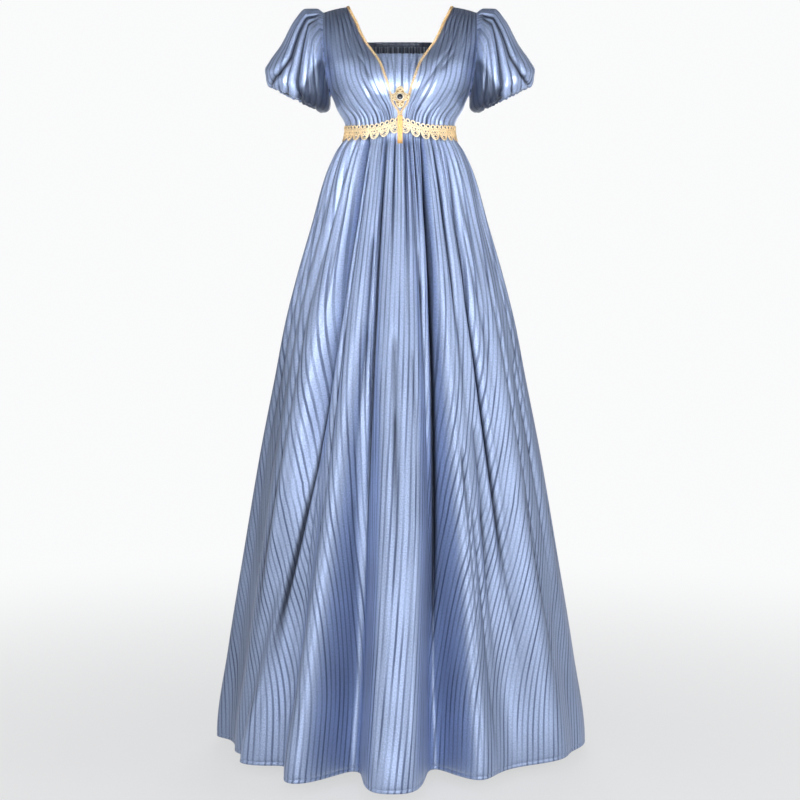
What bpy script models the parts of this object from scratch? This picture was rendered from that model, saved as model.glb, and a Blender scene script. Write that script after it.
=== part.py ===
"""Regency gown: a floor-length empire gown of striped satin, filled out with no wearer.

Units are metres, +Z is up, the front faces -Y and +X is the wearer's left. The origin is
midway between the neck ends of the two shoulder seams. Each cut piece of cloth is a thin
wall on the line the piece takes when worn; neighbours stop a seam's gap apart.
"""
import math

import bmesh
import bpy
from mathutils import Matrix, Vector

MM = 0.001

# Cloth
WALL = 1.5 * MM
SEAM_GAP = 0.7 * MM
SHOULDER_GAP = 1.0 * MM         # wider, as the two walls meet at a slant
UNDERARM_GAP = 1.6 * MM
LAID_ON = 0.9 * MM              # air between a panel and what is sewn on it
TRIM_WALL = 1.3 * MM
CASING_WALL = 2.2 * MM

# Bodice
NECK_RISE = 2.9 * MM            # centre of the shoulder line, in the air above the neck
SHOULDER_END_X = 154 * MM
SHOULDER_END_Z = -11.5 * MM
UNDERARM_X = 139.5 * MM
UNDERARM_Z = -176 * MM
ARMHOLE_FRONT = 48 * MM         # how far the armhole comes forward
ARMHOLE_BACK = 50 * MM
ARMHOLE_BOW = 5 * MM            # how far its middle stands out sideways
EMPIRE_SIDE_Z = -250 * MM       # empire seam at the side seams and the back
EMPIRE_FRONT_Z = -238 * MM      # and at the centre front, where it peaks
SHOULDER_CURVE = 4.0            # power that bends a row of the bodice down to the arm
EMPIRE_CURVE = 1.5
BODY_SQUARENESS = 2.3           # superellipse power of the body round the bust
ARM_FLATNESS = 0.443            # how much of that curve the armhole cuts away
FLATNESS_TOP = 0.45             # how far down the rows begin to round to the side seam
FLATNESS_FOOT = 0.85            # and where they are fully round
ARMHOLE_EASE = 0.12             # how softly the foot of the armhole runs into the rows
SEAM_HOLD = 8                   # how closely the armhole's own line keeps to the seam
CUP_X = 62 * MM
CUP_Z = -158 * MM
CUP_RADIUS = 50 * MM
CUP_DEPTH = 13 * MM

# Neckline and what fills it
MODESTY_TOP_Z = -98 * MM
MODESTY_TUCK = 9 * MM           # how far the inset runs behind each front
MODESTY_SET_BACK = 3.4 * MM
BACK_NECK_Z = -64 * MM
BACK_CASING_HEIGHT = 9 * MM
BACK_STRAP_X = 101 * MM

# Braid, belt, brooch and tab
BRAID_WIDTH = 4.6 * MM
BRAID_END_Z = -221.5 * MM
BELT_TOP_Z = -239 * MM
BELT_FOOT_Z = -266 * MM
BELT_PEAK = 14.5 * MM           # rise of both belt edges at the centre front
BELT_PEAK_REACH = 34 * MM
SCALLOPS_PER_HALF = 16
SCALLOP_COLUMNS = 3
SCALLOP_DEPTH = 8 * MM
BELT_FOOT_LIFT = 0.8 * MM       # how much further out the scallops stand than the top
BROOCH_Z = -187 * MM
BROOCH_HALF_WIDTH = 17.5 * MM
BROOCH_HALF_HEIGHT = 21.5 * MM
BROOCH_LEAN = math.radians(13)
BROOCH_THICK = 2.4 * MM
BROOCH_RIM = 2.0 * MM           # height of the ring round the stone
GEM_RADIUS = 5.2 * MM
GEM_HALF_HEIGHT = 2.6 * MM
GEM_CLEARANCE = 0.4 * MM
GEM_STEPS = 20
GEM_FLOOR = 1.0 * MM
BROOCH_RING = 3.2 * MM          # width of the ring round the stone
BROOCH_LIFT = 1.6 * MM
BROOCH_STEPS = 32
TAB_HALF_WIDTH = 5.2 * MM
TAB_TOP_Z = -222 * MM
TAB_FOOT_Z = -277 * MM
TAB_CREASE = 1.0 * MM

# Skirt
HEM_Z = -1500 * MM
SKIRT_COLUMNS = 38
SEAM_FLAT = 6.0                 # degrees over which the folds die out at a side seam
SEAM_STRIP = 1.5                # degrees of flat cloth beside a side seam
SLEEVE_COLUMNS = 26


class Table:
    """Rows of named columns, first column the key; between rows a column runs smoothly."""

    def __init__(self, names, rows, unit):
        self.names = names.split()
        self.rows = rows
        self.unit = unit

    def column(self, name):
        place = self.names.index(name)
        return [row[place] for row in self.rows]

    def at(self, name, key):
        keys = self.column(self.names[0])
        values = self.column(name)
        flip = keys[0] > keys[-1]
        if flip:
            keys = [-k for k in keys]
            key = -key
        if key <= keys[0]:
            return values[0] * self.unit
        if key >= keys[-1]:
            return values[-1] * self.unit
        i = max(n for n in range(len(keys) - 1) if keys[n] <= key)
        span = keys[i + 1] - keys[i]
        f = (key - keys[i]) / span
        a = values[i]
        b = values[i + 1]
        ta = slope(keys, values, i) * span
        tb = slope(keys, values, i + 1) * span
        smooth = (a * (2 * f ** 3 - 3 * f ** 2 + 1) + b * (3 * f ** 2 - 2 * f ** 3)
                  + ta * (f ** 3 - 2 * f ** 2 + f) + tb * (f ** 3 - f ** 2))
        return smooth * self.unit


def slope(keys, values, i):
    """Slope at row i that never overshoots its neighbours."""
    if i == 0 or i == len(keys) - 1:
        return 0.0 if i else (values[1] - values[0]) / (keys[1] - keys[0])
    before = (values[i] - values[i - 1]) / (keys[i] - keys[i - 1])
    after = (values[i + 1] - values[i]) / (keys[i + 1] - keys[i])
    if before * after <= 0:
        return 0.0
    return 2 * before * after / (before + after)


# How far down the bodice (0 shoulder, 1 empire seam): depth forward and back at the
# middle of the row, and half the opening of the V.
BODICE = Table("down front back opening", [
    (0.00, 0, 0, 102.5),
    (0.004, 8, 8, 102.0),
    (0.03, 22, 24, 99.0),
    (0.08, 36, 42, 93.5),
    (0.15, 50, 57, 85.0),
    (0.23, 64, 69, 77.0),
    (0.32, 78, 78, 66.5),
    (0.41, 90, 84, 51.5),
    (0.50, 99, 87, 37.5),
    (0.60, 106, 89, 28.5),
    (0.69, 108, 90, 21.0),
    (0.76, 106, 88, 16.5),
    (0.83, 101, 86, 12.0),
    (0.91, 95, 83, 0.25),
    (0.95, 92, 81, 0.25),
    (1.00, 90, 80, 0.25),
], MM)

# Side seam of the bodice below the underarm: height, half width.
BODICE_SIDE = Table("z width", [
    (-176, 139.5),
    (-190, 133.5),
    (-205, 128.0),
    (-215, 122.5),
    (-226, 115.5),
    (-238, 111.0),
    (-250, 111.0),
], MM)

# Skirt by height: half width, depth forward, depth back, squareness of the section.
SKIRT = Table("z width front back square", [
    (-250, 111, 90, 80, 2.3),
    (-266, 114, 92, 82, 2.3),
    (-287, 128, 100, 92, 2.2),
    (-337, 151, 114, 110, 2.1),
    (-438, 180, 142, 141, 2.0),
    (-540, 210, 170, 171, 2.0),
    (-642, 236, 197, 198, 2.0),
    (-745, 256, 225, 223, 2.0),
    (-900, 287, 264, 256, 2.0),
    (-1107, 323, 318, 300, 2.0),
    (-1316, 358, 377, 345, 2.0),
    (-1500, 383, 432, 380, 2.0),
], MM)
SKIRT_ROWS = (0.0, 0.014, 0.034, 0.07, 0.12, 0.19, 0.28, 0.39, 0.52, 0.67, 0.83, 1.0)

# Depth by height of the short gathers that hang from the empire seam.
SKIRT_GATHERS = Table("z depth", [
    (-268, 0.0),
    (-292, 4.0),
    (-400, 4.5),
    (-500, 3.0),
    (-640, 0.0),
], MM)
GATHER_SHARES = (1.0, 0.6, 0.85, 0.5, 0.95, 0.7)

# Depth of the bodice gathers, below the shoulder seam and above the empire seam.
BODICE_GATHERS = Table("down depth", [
    (0.0, 0.0),
    (0.03, 1.4),
    (0.15, 1.8),
    (0.32, 0.0),
    (0.69, 0.0),
    (0.83, 1.6),
    (0.91, 2.2),
    (0.95, 0.0),
    (1.0, 0.0),
], MM)

# Troughs between the big folds of the front: angle from the centre front (degrees, plus to
# the wearer's left) at the belt and hem, how late the drift comes, half width in degrees,
# steepness of the walls, depth at the hip, knee and hem in millimetres.
FRONT_TROUGHS = [
    dict(belt=-72, hem=-76, late=0.5, width=13, steep=2.0, hip=6, knee=20, hem_depth=36),
    dict(belt=-43, hem=-62, late=1.5, width=4.5, steep=2.0, hip=14, knee=30, hem_depth=26),
    dict(belt=-31, hem=-44, late=0.5, width=8, steep=2.6, hip=5, knee=38, hem_depth=80),
    dict(belt=-19, hem=-17.5, late=0.5, width=6.5, steep=3.2, hip=6, knee=70, hem_depth=156),
    dict(belt=25, hem=14.5, late=0.5, width=6.5, steep=3.2, hip=14, knee=78, hem_depth=168),
    dict(belt=52, hem=40, late=0.5, width=20, steep=2.0, hip=8, knee=40, hem_depth=78),
    dict(belt=73, hem=71, late=0.5, width=7, steep=2.0, hip=6, knee=12, hem_depth=14),
]
# The same for the back, angles from the centre back.
BACK_TROUGHS = [
    dict(belt=-70, hem=-72, late=0.5, width=6, steep=2.0, hip=7, knee=20, hem_depth=34),
    dict(belt=-44, hem=-47, late=0.5, width=6.5, steep=2.4, hip=9, knee=38, hem_depth=74),
    dict(belt=-17, hem=-21, late=0.5, width=6, steep=3.0, hip=7, knee=56, hem_depth=118),
    dict(belt=9, hem=8, late=0.5, width=5.5, steep=3.0, hip=10, knee=60, hem_depth=124),
    dict(belt=35, hem=34, late=0.5, width=6, steep=2.6, hip=7, knee=42, hem_depth=88),
    dict(belt=61, hem=60, late=0.5, width=6.5, steep=2.0, hip=8, knee=26, hem_depth=46),
]
# The wearer's right side of the skirt swings back a little towards the hem.
SIDE_SWING = 34 * MM
SWING_FROM = 0.65               # share of the half width where the swing begins
FOLD_START_Z = -268 * MM
HIP_Z = -500 * MM
KNEE_Z = -950 * MM

# Sleeve sections from the armhole out: the outer and inner ends of each section, how far
# it stands forward and back, and the depth of its gathers.
SLEEVE = [
    dict(out_x=154.0, out_z=-11.5, in_x=139.5, in_z=-176, front=48, back=50, gather=0.0),
    dict(out_x=168.0, out_z=-3.0, in_x=140.5, in_z=-187, front=62, back=61, gather=3.0),
    dict(out_x=190.0, out_z=-3.5, in_x=140.5, in_z=-196, front=75, back=71, gather=4.0),
    dict(out_x=213.0, out_z=-27, in_x=141.5, in_z=-203, front=83, back=78, gather=4.0),
    dict(out_x=240.0, out_z=-76, in_x=144.0, in_z=-207, front=86, back=82, gather=4.0),
    dict(out_x=263.0, out_z=-108, in_x=148.0, in_z=-210, front=85, back=82, gather=4.0),
    dict(out_x=273.0, out_z=-127, in_x=152.5, in_z=-211.5, front=81, back=79, gather=4.5),
    dict(out_x=269.0, out_z=-143, in_x=158.0, in_z=-210, front=74, back=73, gather=5.0),
    dict(out_x=261.0, out_z=-158, in_x=163.0, in_z=-204, front=64, back=63, gather=4.0),
    dict(out_x=250.0, out_z=-162, in_x=167.0, in_z=-196, front=53, back=52, gather=1.5),
]
SLEEVE_GATHERS = (2, 5, 8, 10, 15, 18, 21, 24)      # columns that lie in a gather
GATHER_NEIGHBOUR = 0.35

COLOURS = dict(satin=(0.190, 0.285, 0.500), lace=(0.720, 0.520, 0.250),
               braid=(0.620, 0.400, 0.160), gilt=(0.700, 0.480, 0.180),
               stone=(0.006, 0.006, 0.008), ribbon=(0.560, 0.300, 0.085))
FINISH = dict(satin=(0.34, 0.0), lace=(0.55, 0.0), braid=(0.42, 0.3),
              gilt=(0.30, 1.0), stone=(0.08, 0.0), ribbon=(0.35, 0.0))


def blend(a, b, f):
    return a + (b - a) * f


def clamp(value, low, high):
    return max(low, min(high, value))


def outer_edge(down, front):
    """Point of the armhole or side seam at this far down the bodice."""
    z = blend(SHOULDER_END_Z, EMPIRE_SIDE_Z, down)
    if z < UNDERARM_Z:
        return Vector((BODICE_SIDE.at("width", z / MM), 0, z))
    middle = (SHOULDER_END_Z + UNDERARM_Z) / 2
    half = (SHOULDER_END_Z - UNDERARM_Z) / 2
    cos = clamp((z - middle) / half, -1, 1)
    sin = math.sqrt(1 - cos * cos)
    x = blend(UNDERARM_X, SHOULDER_END_X, (cos + 1) / 2) + ARMHOLE_BOW * sin * sin
    reach = -ARMHOLE_FRONT if front else ARMHOLE_BACK
    return Vector((x, reach * sin, z))


def row_height(across, down, front):
    """Height along a row of the bodice, which dips from the middle to the outer edge."""
    foot = EMPIRE_FRONT_Z if front else EMPIRE_SIDE_Z
    middle = blend(NECK_RISE, foot, down)
    power = blend(SHOULDER_CURVE, EMPIRE_CURVE, down)
    outer = blend(SHOULDER_END_Z, EMPIRE_SIDE_Z, down)
    return blend(middle, outer, abs(across) ** power)


def bodice(across, down, front=True):
    """Outer face of the bodice; across runs from -1 to 1 between the outer edges."""
    edge = outer_edge(down, front)
    depth = BODICE.at("front" if front else "back", down)
    power = BODY_SQUARENESS
    way = clamp((down - FLATNESS_TOP) / (FLATNESS_FOOT - FLATNESS_TOP), 0, 1)
    floor = ARM_FLATNESS * (1 - way * way * (3 - 2 * way))
    share = (1 - floor ** power) ** (1 / power)
    curve = (1 - min(1.0, share * abs(across)) ** power) ** (1 / power)
    curve = (curve - floor) / (1 - floor)
    sin = abs(edge.y) / (ARMHOLE_FRONT if front else ARMHOLE_BACK)
    eased = (1 + ARMHOLE_EASE) * sin * sin / (sin * sin + ARMHOLE_EASE)
    reach = abs(edge.y) * blend(eased, 1.0, abs(across) ** SEAM_HOLD)
    out = blend(reach, depth, curve)
    x = across * edge.x
    z = row_height(across, down, front)
    if front:
        off = ((abs(x) - CUP_X) ** 2 + (z - CUP_Z) ** 2) / CUP_RADIUS ** 2
        out += CUP_DEPTH * math.exp(-off)
    return Vector((x, -out if front else out, z))


def down_at(across, z, front=True):
    """How far down the bodice the height z lies."""
    low = 0.0
    high = 1.0
    for _ in range(30):
        middle = (low + high) / 2
        if row_height(across, middle, front) > z:
            low = middle
        else:
            high = middle
    return (low + high) / 2


def moved_out(surface, a, b, distance):
    """A point of a surface moved along its normal, away from the wearer."""
    step = 0.002
    here = surface(a, b)
    along = surface(a + step, b) - surface(a - step, b)
    down = surface(a, b + step) - surface(a, b - step)
    normal = along.cross(down)
    if normal.length < 1e-12:
        return here
    normal.normalize()
    outward = Vector((here.x, here.y, 0))
    if normal.dot(outward) < 0:
        normal.negate()
    return here + normal * distance


def trough_depth(fold, z):
    depths = Table("z depth", [(FOLD_START_Z, 0), (HIP_Z, fold["hip"]),
                               (KNEE_Z, fold["knee"]), (HEM_Z, fold["hem_depth"])], MM)
    return depths.at("depth", z)


def way_down(z):
    """0 where the folds start under the belt, 1 at the hem."""
    return clamp((z - FOLD_START_Z) / (HEM_Z - FOLD_START_Z), 0, 1)


def trough_angle(fold, z):
    return blend(fold["belt"], fold["hem"], way_down(z) ** fold["late"])


def skirt_point(angle, z, troughs, front):
    """Outer face of the skirt at an angle from the centre of its panel."""
    half = SKIRT.at("width", z / MM)
    deep = SKIRT.at("front" if front else "back", z / MM)
    power = SKIRT.at("square", z / MM) / MM
    turn = math.radians(angle)
    sin = abs(math.sin(turn))
    cos = abs(math.cos(turn))
    radius = ((sin / half) ** power + (cos / deep) ** power) ** (-1 / power)
    flat = 1 - math.exp(-((90 - abs(angle)) / SEAM_FLAT) ** 4)
    for fold in troughs:
        off = abs(angle - trough_angle(fold, z)) / fold["width"]
        radius -= trough_depth(fold, z) * math.exp(-off ** fold["steep"]) * flat
    x = math.sin(turn) * radius
    y = (-1 if front else 1) * math.cos(turn) * radius
    aside = clamp((-x / half - SWING_FROM) / (1 - SWING_FROM), 0, 1)
    swing = SIDE_SWING * way_down(z) * aside * aside * (3 - 2 * aside)
    return Vector((x, y + swing, z))


def hem_angles(troughs, front):
    """Angles of the skirt's columns at the hem, spaced evenly along its cloth."""
    samples = 360
    start = -90 + SEAM_STRIP
    end = 90 - SEAM_STRIP
    fine = [blend(start, end, i / samples) for i in range(samples + 1)]
    ring = [skirt_point(angle, HEM_Z, troughs, front) for angle in fine]
    length = [0.0]
    for a, b in zip(ring, ring[1:]):
        length.append(length[-1] + (b - a).length)
    angles = []
    i = 0
    for n in range(SKIRT_COLUMNS - 1):
        want = length[-1] * n / (SKIRT_COLUMNS - 2)
        while i < samples - 1 and length[i + 1] < want:
            i += 1
        part = clamp((want - length[i]) / (length[i + 1] - length[i]), 0, 1)
        angles.append(blend(fine[i], fine[i + 1], part))
    return angles


def up_the_folds(angle, z, troughs):
    """Where the thread at this angle of the hem lies at the height z."""
    hem = [-90] + [fold["hem"] for fold in troughs] + [90]
    here = [-90] + [trough_angle(fold, z) for fold in troughs] + [90]
    i = max(n for n in range(len(hem) - 1) if hem[n] <= angle)
    return blend(here[i], here[i + 1], (angle - hem[i]) / (hem[i + 1] - hem[i]))


def empire_z(x, front):
    """Height of the empire seam over a place x across the body."""
    return row_height(clamp(x / BODICE_SIDE.at("width", -250), -1, 1), 1.0, front)


# Building ------------------------------------------------------------------------------

def clear_scene():
    for item in list(bpy.data.objects):
        bpy.data.objects.remove(item, do_unlink=True)
    for block in list(bpy.data.meshes):
        bpy.data.meshes.remove(block)


def material(name, kind):
    made = bpy.data.materials.new(name)
    made.use_nodes = True
    shader = made.node_tree.nodes["Principled BSDF"]
    shader.inputs["Base Color"].default_value = (*COLOURS[kind], 1.0)
    shader.inputs["Roughness"].default_value = FINISH[kind][0]
    shader.inputs["Metallic"].default_value = FINISH[kind][1]
    made.diffuse_color = (*COLOURS[kind], 1.0)
    return made


def add_object(name, points, faces, kind):
    mesh = bpy.data.meshes.new(name)
    mesh.from_pydata([tuple(p) for p in points], [], faces)
    mesh.update()
    for face in mesh.polygons:
        face.use_smooth = True
    thing = bpy.data.objects.new(name, mesh)
    gown.objects.link(thing)
    mesh.materials.append(material(name + "_" + kind, kind))
    return thing


def sheet(name, rows, kind, wall, outward=False, closed=False, keep=None):
    """A wall of cloth through a grid of points, thickened towards the wearer."""
    wide = len(rows[0])
    points = [p for row in rows for p in row]
    faces = []
    spans = wide if closed else wide - 1
    for r in range(len(rows) - 1):
        for c in range(spans):
            if keep and not keep(r, c):
                continue
            d = (c + 1) % wide
            faces.append((r * wide + c, (r + 1) * wide + c, (r + 1) * wide + d, r * wide + d))
    used = sorted({i for face in faces for i in face})
    renumber = {old: new for new, old in enumerate(used)}
    faces = [tuple(renumber[i] for i in face) for face in faces]
    thing = add_object(name, [points[i] for i in used], faces, kind)
    solid = thing.modifiers.new("wall", "SOLIDIFY")
    solid.thickness = wall
    solid.offset = 1.0 if outward else -1.0
    solid.use_even_offset = True
    return thing


def bodice_front(name, side):
    """One front: strap, V edge, cup and side, from the shoulder to the empire seam."""
    columns = 11
    rows = []
    for down, _, _, opening in BODICE.rows:
        first = opening * MM / outer_edge(down, True).x
        row = []
        for c in range(columns + 1):
            across = side * blend(first, 1.0, c / columns)
            if c % 2 == 0 and 0 < c < columns:
                depth = BODICE_GATHERS.at("depth", down)
                row.append(moved_out(bodice, across, down, -depth) if depth else
                           bodice(across, down))
            else:
                row.append(bodice(across, down))
        rows.append(row if side > 0 else row[::-1])
    underarm = (UNDERARM_Z - SHOULDER_END_Z) / (EMPIRE_SIDE_Z - SHOULDER_END_Z)
    place = min(range(len(BODICE.rows)), key=lambda i: abs(BODICE.rows[i][0] - underarm))
    end = -1 if side > 0 else 0
    edge = outer_edge(underarm, True)
    rows[place][end] = Vector((side * edge.x, edge.y, edge.z))
    rows[0] = [p - Vector((0, SHOULDER_GAP / 2, 0)) for p in rows[0]]
    for r, row in enumerate(rows[1:], 1):
        gap = UNDERARM_GAP if r == place else SEAM_GAP
        row[end] = row[end] - Vector((0, gap / 2, 0))
    return sheet(name, rows, "satin", WALL)


def modesty_panel():
    """The inset seen in the V, tucked behind both fronts."""
    columns = 8
    steps = 8
    first = down_at(0, MODESTY_TOP_Z)
    last = 0.93
    rows = []
    for r in range(steps + 1):
        down = blend(first, last, r / steps)
        half = (BODICE.at("opening", down) + MODESTY_TUCK) / outer_edge(down, True).x
        rows.append([moved_out(bodice, half * blend(-1, 1, c / columns), down,
                               -MODESTY_SET_BACK) for c in range(columns + 1)])
    return sheet("modesty_panel", rows, "satin", WALL)


def back_surface(across, down):
    return bodice(across, down, front=False)


BACK_DOWNS = (0.0, 0.004, 0.04, 0.12, 0.21, None, 0.39, 0.48, 0.58, 0.69, 0.77, 0.86, 0.95, 1.0)
BACK_NECK_ROW = 5
BACK_INNER_COLUMNS = 5
BACK_STRAP_COLUMNS = 4


def back_across(down):
    """Places across one row of the back, with a column on each strap's inner edge."""
    edge = outer_edge(down, False).x
    strap = BACK_STRAP_X / edge
    inner = [strap * c / BACK_INNER_COLUMNS for c in range(BACK_INNER_COLUMNS + 1)]
    outer = [blend(strap, 1.0, (c + 1) / BACK_STRAP_COLUMNS) for c in range(BACK_STRAP_COLUMNS)]
    half = inner + outer
    return [-a for a in half[:0:-1]] + half


def bodice_back():
    """The back: two straps and a plain square-necked panel."""
    neck = down_at(0, BACK_NECK_Z - BACK_CASING_HEIGHT - SEAM_GAP, front=False)
    rows = []
    for down in BACK_DOWNS:
        place = neck if down is None else down
        row = [back_surface(a, place) for a in back_across(place)]
        row[0] = row[0] + Vector((0, SEAM_GAP / 2, 0))
        row[-1] = row[-1] + Vector((0, SEAM_GAP / 2, 0))
        if down == 0.0:
            row = [p + Vector((0, SHOULDER_GAP / 2, 0)) for p in row]
        rows.append(row[::-1])
    low = BACK_STRAP_COLUMNS
    high = BACK_STRAP_COLUMNS + 2 * BACK_INNER_COLUMNS

    def keep(r, c):
        return r >= BACK_NECK_ROW or not low <= c < high

    return sheet("bodice_back", rows, "satin", WALL, keep=keep)


def back_neck_band():
    """The elastic casing that finishes the back neckline between the straps."""
    rows = []
    for z in (BACK_NECK_Z, BACK_NECK_Z - BACK_CASING_HEIGHT):
        down = down_at(0, z, front=False)
        half = (BACK_STRAP_X - SEAM_GAP) / outer_edge(down, False).x
        columns = 2 * BACK_INNER_COLUMNS
        rows.append([back_surface(half * blend(1, -1, c / columns), down)
                     for c in range(columns + 1)])
    return sheet("back_neck_band", rows, "satin", CASING_WALL)


def sleeve(name, side):
    """A puff sleeve from the armhole to its elastic edge, which is left open."""
    rows = []
    for n, cut in enumerate(SLEEVE):
        outer = Vector((cut["out_x"], 0, cut["out_z"])) * MM
        inner = Vector((cut["in_x"], 0, cut["in_z"])) * MM
        if n == 0:
            outer.x += SEAM_GAP
            inner.x += SEAM_GAP
        centre = (outer + inner) / 2
        reach = (outer - inner) / 2
        bow = ARMHOLE_BOW if n == 0 else 0.0
        row = []
        for c in range(SLEEVE_COLUMNS):
            turn = math.tau * c / SLEEVE_COLUMNS
            sink = 0.0
            if c in SLEEVE_GATHERS:
                sink = cut["gather"] * MM
            elif (c + 1) % SLEEVE_COLUMNS in SLEEVE_GATHERS or c - 1 in SLEEVE_GATHERS:
                sink = cut["gather"] * GATHER_NEIGHBOUR * MM
            deep = cut["front" if math.sin(turn) > 0 else "back"] * MM
            shrink = 1 - sink / max(deep, 1e-6)
            point = centre + reach * (math.cos(turn) * shrink)
            point.y -= math.sin(turn) * deep * shrink
            point.x += bow * math.sin(turn) ** 2
            row.append(Vector((side * point.x, point.y, point.z)))
        rows.append(row if side < 0 else row[::-1])
    return sheet(name, rows, "satin", WALL, closed=True)


def skirt(name, troughs, front):
    """A gathered skirt panel from the empire seam to the hem."""
    rows = []
    columns = hem_angles(troughs, front)
    for step in SKIRT_ROWS:
        row = []
        level = blend(EMPIRE_SIDE_Z, HEM_Z, step)
        edge = 90 - math.degrees(SEAM_GAP / 2 / SKIRT.at("width", level / MM))
        inner = [up_the_folds(angle, level, troughs) for angle in columns]
        for n, angle in enumerate([-edge] + inner + [edge]):
            flat = skirt_point(angle, EMPIRE_SIDE_Z, troughs, front)
            top = empire_z(flat.x, front) - SEAM_GAP
            point = skirt_point(angle, blend(top, HEM_Z, step), troughs, front)
            if n % 2 == 0 and 0 < n < SKIRT_COLUMNS:
                share = GATHER_SHARES[n // 2 % len(GATHER_SHARES)]
                inward = Vector((-point.x, -point.y, 0)).normalized()
                point += inward * share * SKIRT_GATHERS.at("depth", level / MM)
            row.append(point)
        rows.append(row if front else row[::-1])
    return sheet(name, rows, "satin", WALL)


def belt_surface(angle, z, front):
    """The face the belt lies on: the bodice above the empire seam, the skirt below it."""
    troughs = []
    ring = skirt_point(angle, min(z, EMPIRE_SIDE_Z), troughs, front)
    ring.z = z
    low = 0.0
    high = 1.0
    place = down_at(clamp(abs(ring.x) / BODICE_SIDE.at("width", -250), 0, 1), z, front)
    want = math.tan(math.radians(min(abs(angle), 89.9)))
    for _ in range(24):
        middle = (low + high) / 2
        found = bodice(middle, place, front)
        if found.x < want * abs(found.y):
            low = middle
        else:
            high = middle
    found = bodice(middle, place, front)
    if found.xy.length > ring.xy.length:
        return Vector((math.copysign(found.x, angle), found.y, z))
    return ring


def belt(name, front):
    """Half of the lace belt: one row of scallops, peaked at the centre front."""
    columns = SCALLOP_COLUMNS * SCALLOPS_PER_HALF
    sides = []
    samples = 240
    length = [0.0]
    gap = math.degrees(SEAM_GAP / 2 / SKIRT.at("width", -250))
    angles = [blend(-90 + gap, 90 - gap, i / samples) for i in range(samples + 1)]
    ring = [skirt_point(a, EMPIRE_SIDE_Z, [], front) for a in angles]
    for a, b in zip(ring, ring[1:]):
        length.append(length[-1] + (b - a).length)
    for n in range(columns + 1):
        want = length[-1] * n / columns
        i = max(k for k in range(samples) if length[k] <= want)
        part = (want - length[i]) / (length[i + 1] - length[i])
        sides.append(blend(angles[i], angles[i + 1], clamp(part, 0, 1)))
    rows = [[], []]
    for n, angle in enumerate(sides):
        x = skirt_point(angle, EMPIRE_SIDE_Z, [], front).x
        peak = BELT_PEAK * math.exp(-(x / BELT_PEAK_REACH) ** 2) if front else 0.0
        wave = abs(math.sin(math.pi * n / SCALLOP_COLUMNS))
        foot = BELT_FOOT_Z - SCALLOP_DEPTH * (wave - 0.5)
        edges = ((BELT_TOP_Z + peak, 0.0), (foot + peak, BELT_FOOT_LIFT))
        for row, (z, lift) in zip(rows, edges):
            row.append(moved_out(lambda a, b: belt_surface(math.degrees(a), b, front),
                                 math.radians(angle), z, LAID_ON + WALL + lift))
    for row in rows:
        for end in (0, -1):
            row[end].y = (-1 if front else 1) * SEAM_GAP / 2
    if not front:
        rows = [row[::-1] for row in rows]
    return sheet(name, rows, "lace", WALL)


def neck_trim(name, side):
    """Braid laid on one edge of the V, from the shoulder seam to the top of the belt."""
    rows = []
    downs = [row[0] for row in BODICE.rows if row[0] < 0.91]
    fine = sorted(downs + [(a + b) / 2 for a, b in zip(downs[2:], downs[3:])])
    last = down_at(0, BRAID_END_Z)
    for down in fine + [0.87, 0.91, last]:
        edge = outer_edge(down, True).x
        inner = BODICE.at("opening", down)
        across = [side * x / edge for x in (inner, inner + BRAID_WIDTH)]
        if down == 0.0:
            lift = Vector((0, -SHOULDER_GAP, LAID_ON))
            row = [bodice(a, 0.0) + lift for a in across]
        else:
            row = [moved_out(bodice, a, down, LAID_ON) for a in across]
        rows.append(row if side > 0 else row[::-1])
    return sheet(name, rows, "braid", TRIM_WALL, outward=True)


def brooch_outline(turn):
    """Half width of the brooch in one direction: a cross with rounded arms."""
    arms = 0.60 + 0.40 * abs(math.cos(2 * turn)) ** 1.6
    return arms * math.hypot(BROOCH_HALF_WIDTH * math.cos(turn),
                             BROOCH_HALF_HEIGHT * math.sin(turn))


def brooch_place():
    """Where the brooch sits, its back to the braids, leaning with the fronts."""
    across = 0.1
    depth = -bodice(across, down_at(across, BROOCH_Z)).y
    front = depth + LAID_ON + TRIM_WALL + BROOCH_LIFT
    turned = Matrix.Rotation(math.radians(90) + BROOCH_LEAN, 4, "X")
    return Matrix.Translation((0, -front, BROOCH_Z)) @ turned


def helper(name, mesh, place):
    """A shape that only joins or cuts another."""
    thing = bpy.data.objects.new(name, mesh)
    helpers.objects.link(thing)
    thing.matrix_world = place
    thing.hide_render = True
    thing.display_type = "WIRE"
    return thing


def short_cylinder(name, radius, low, high, place):
    """A cylinder between two heights over the back of the brooch."""
    mesh = bpy.data.meshes.new(name)
    work = bmesh.new()
    bmesh.ops.create_cone(work, cap_ends=True, segments=BROOCH_STEPS, radius1=radius,
                          radius2=radius, depth=high - low,
                          matrix=Matrix.Translation((0, 0, (low + high) / 2)))
    work.to_mesh(mesh)
    work.free()
    return helper(name, mesh, place)


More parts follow.
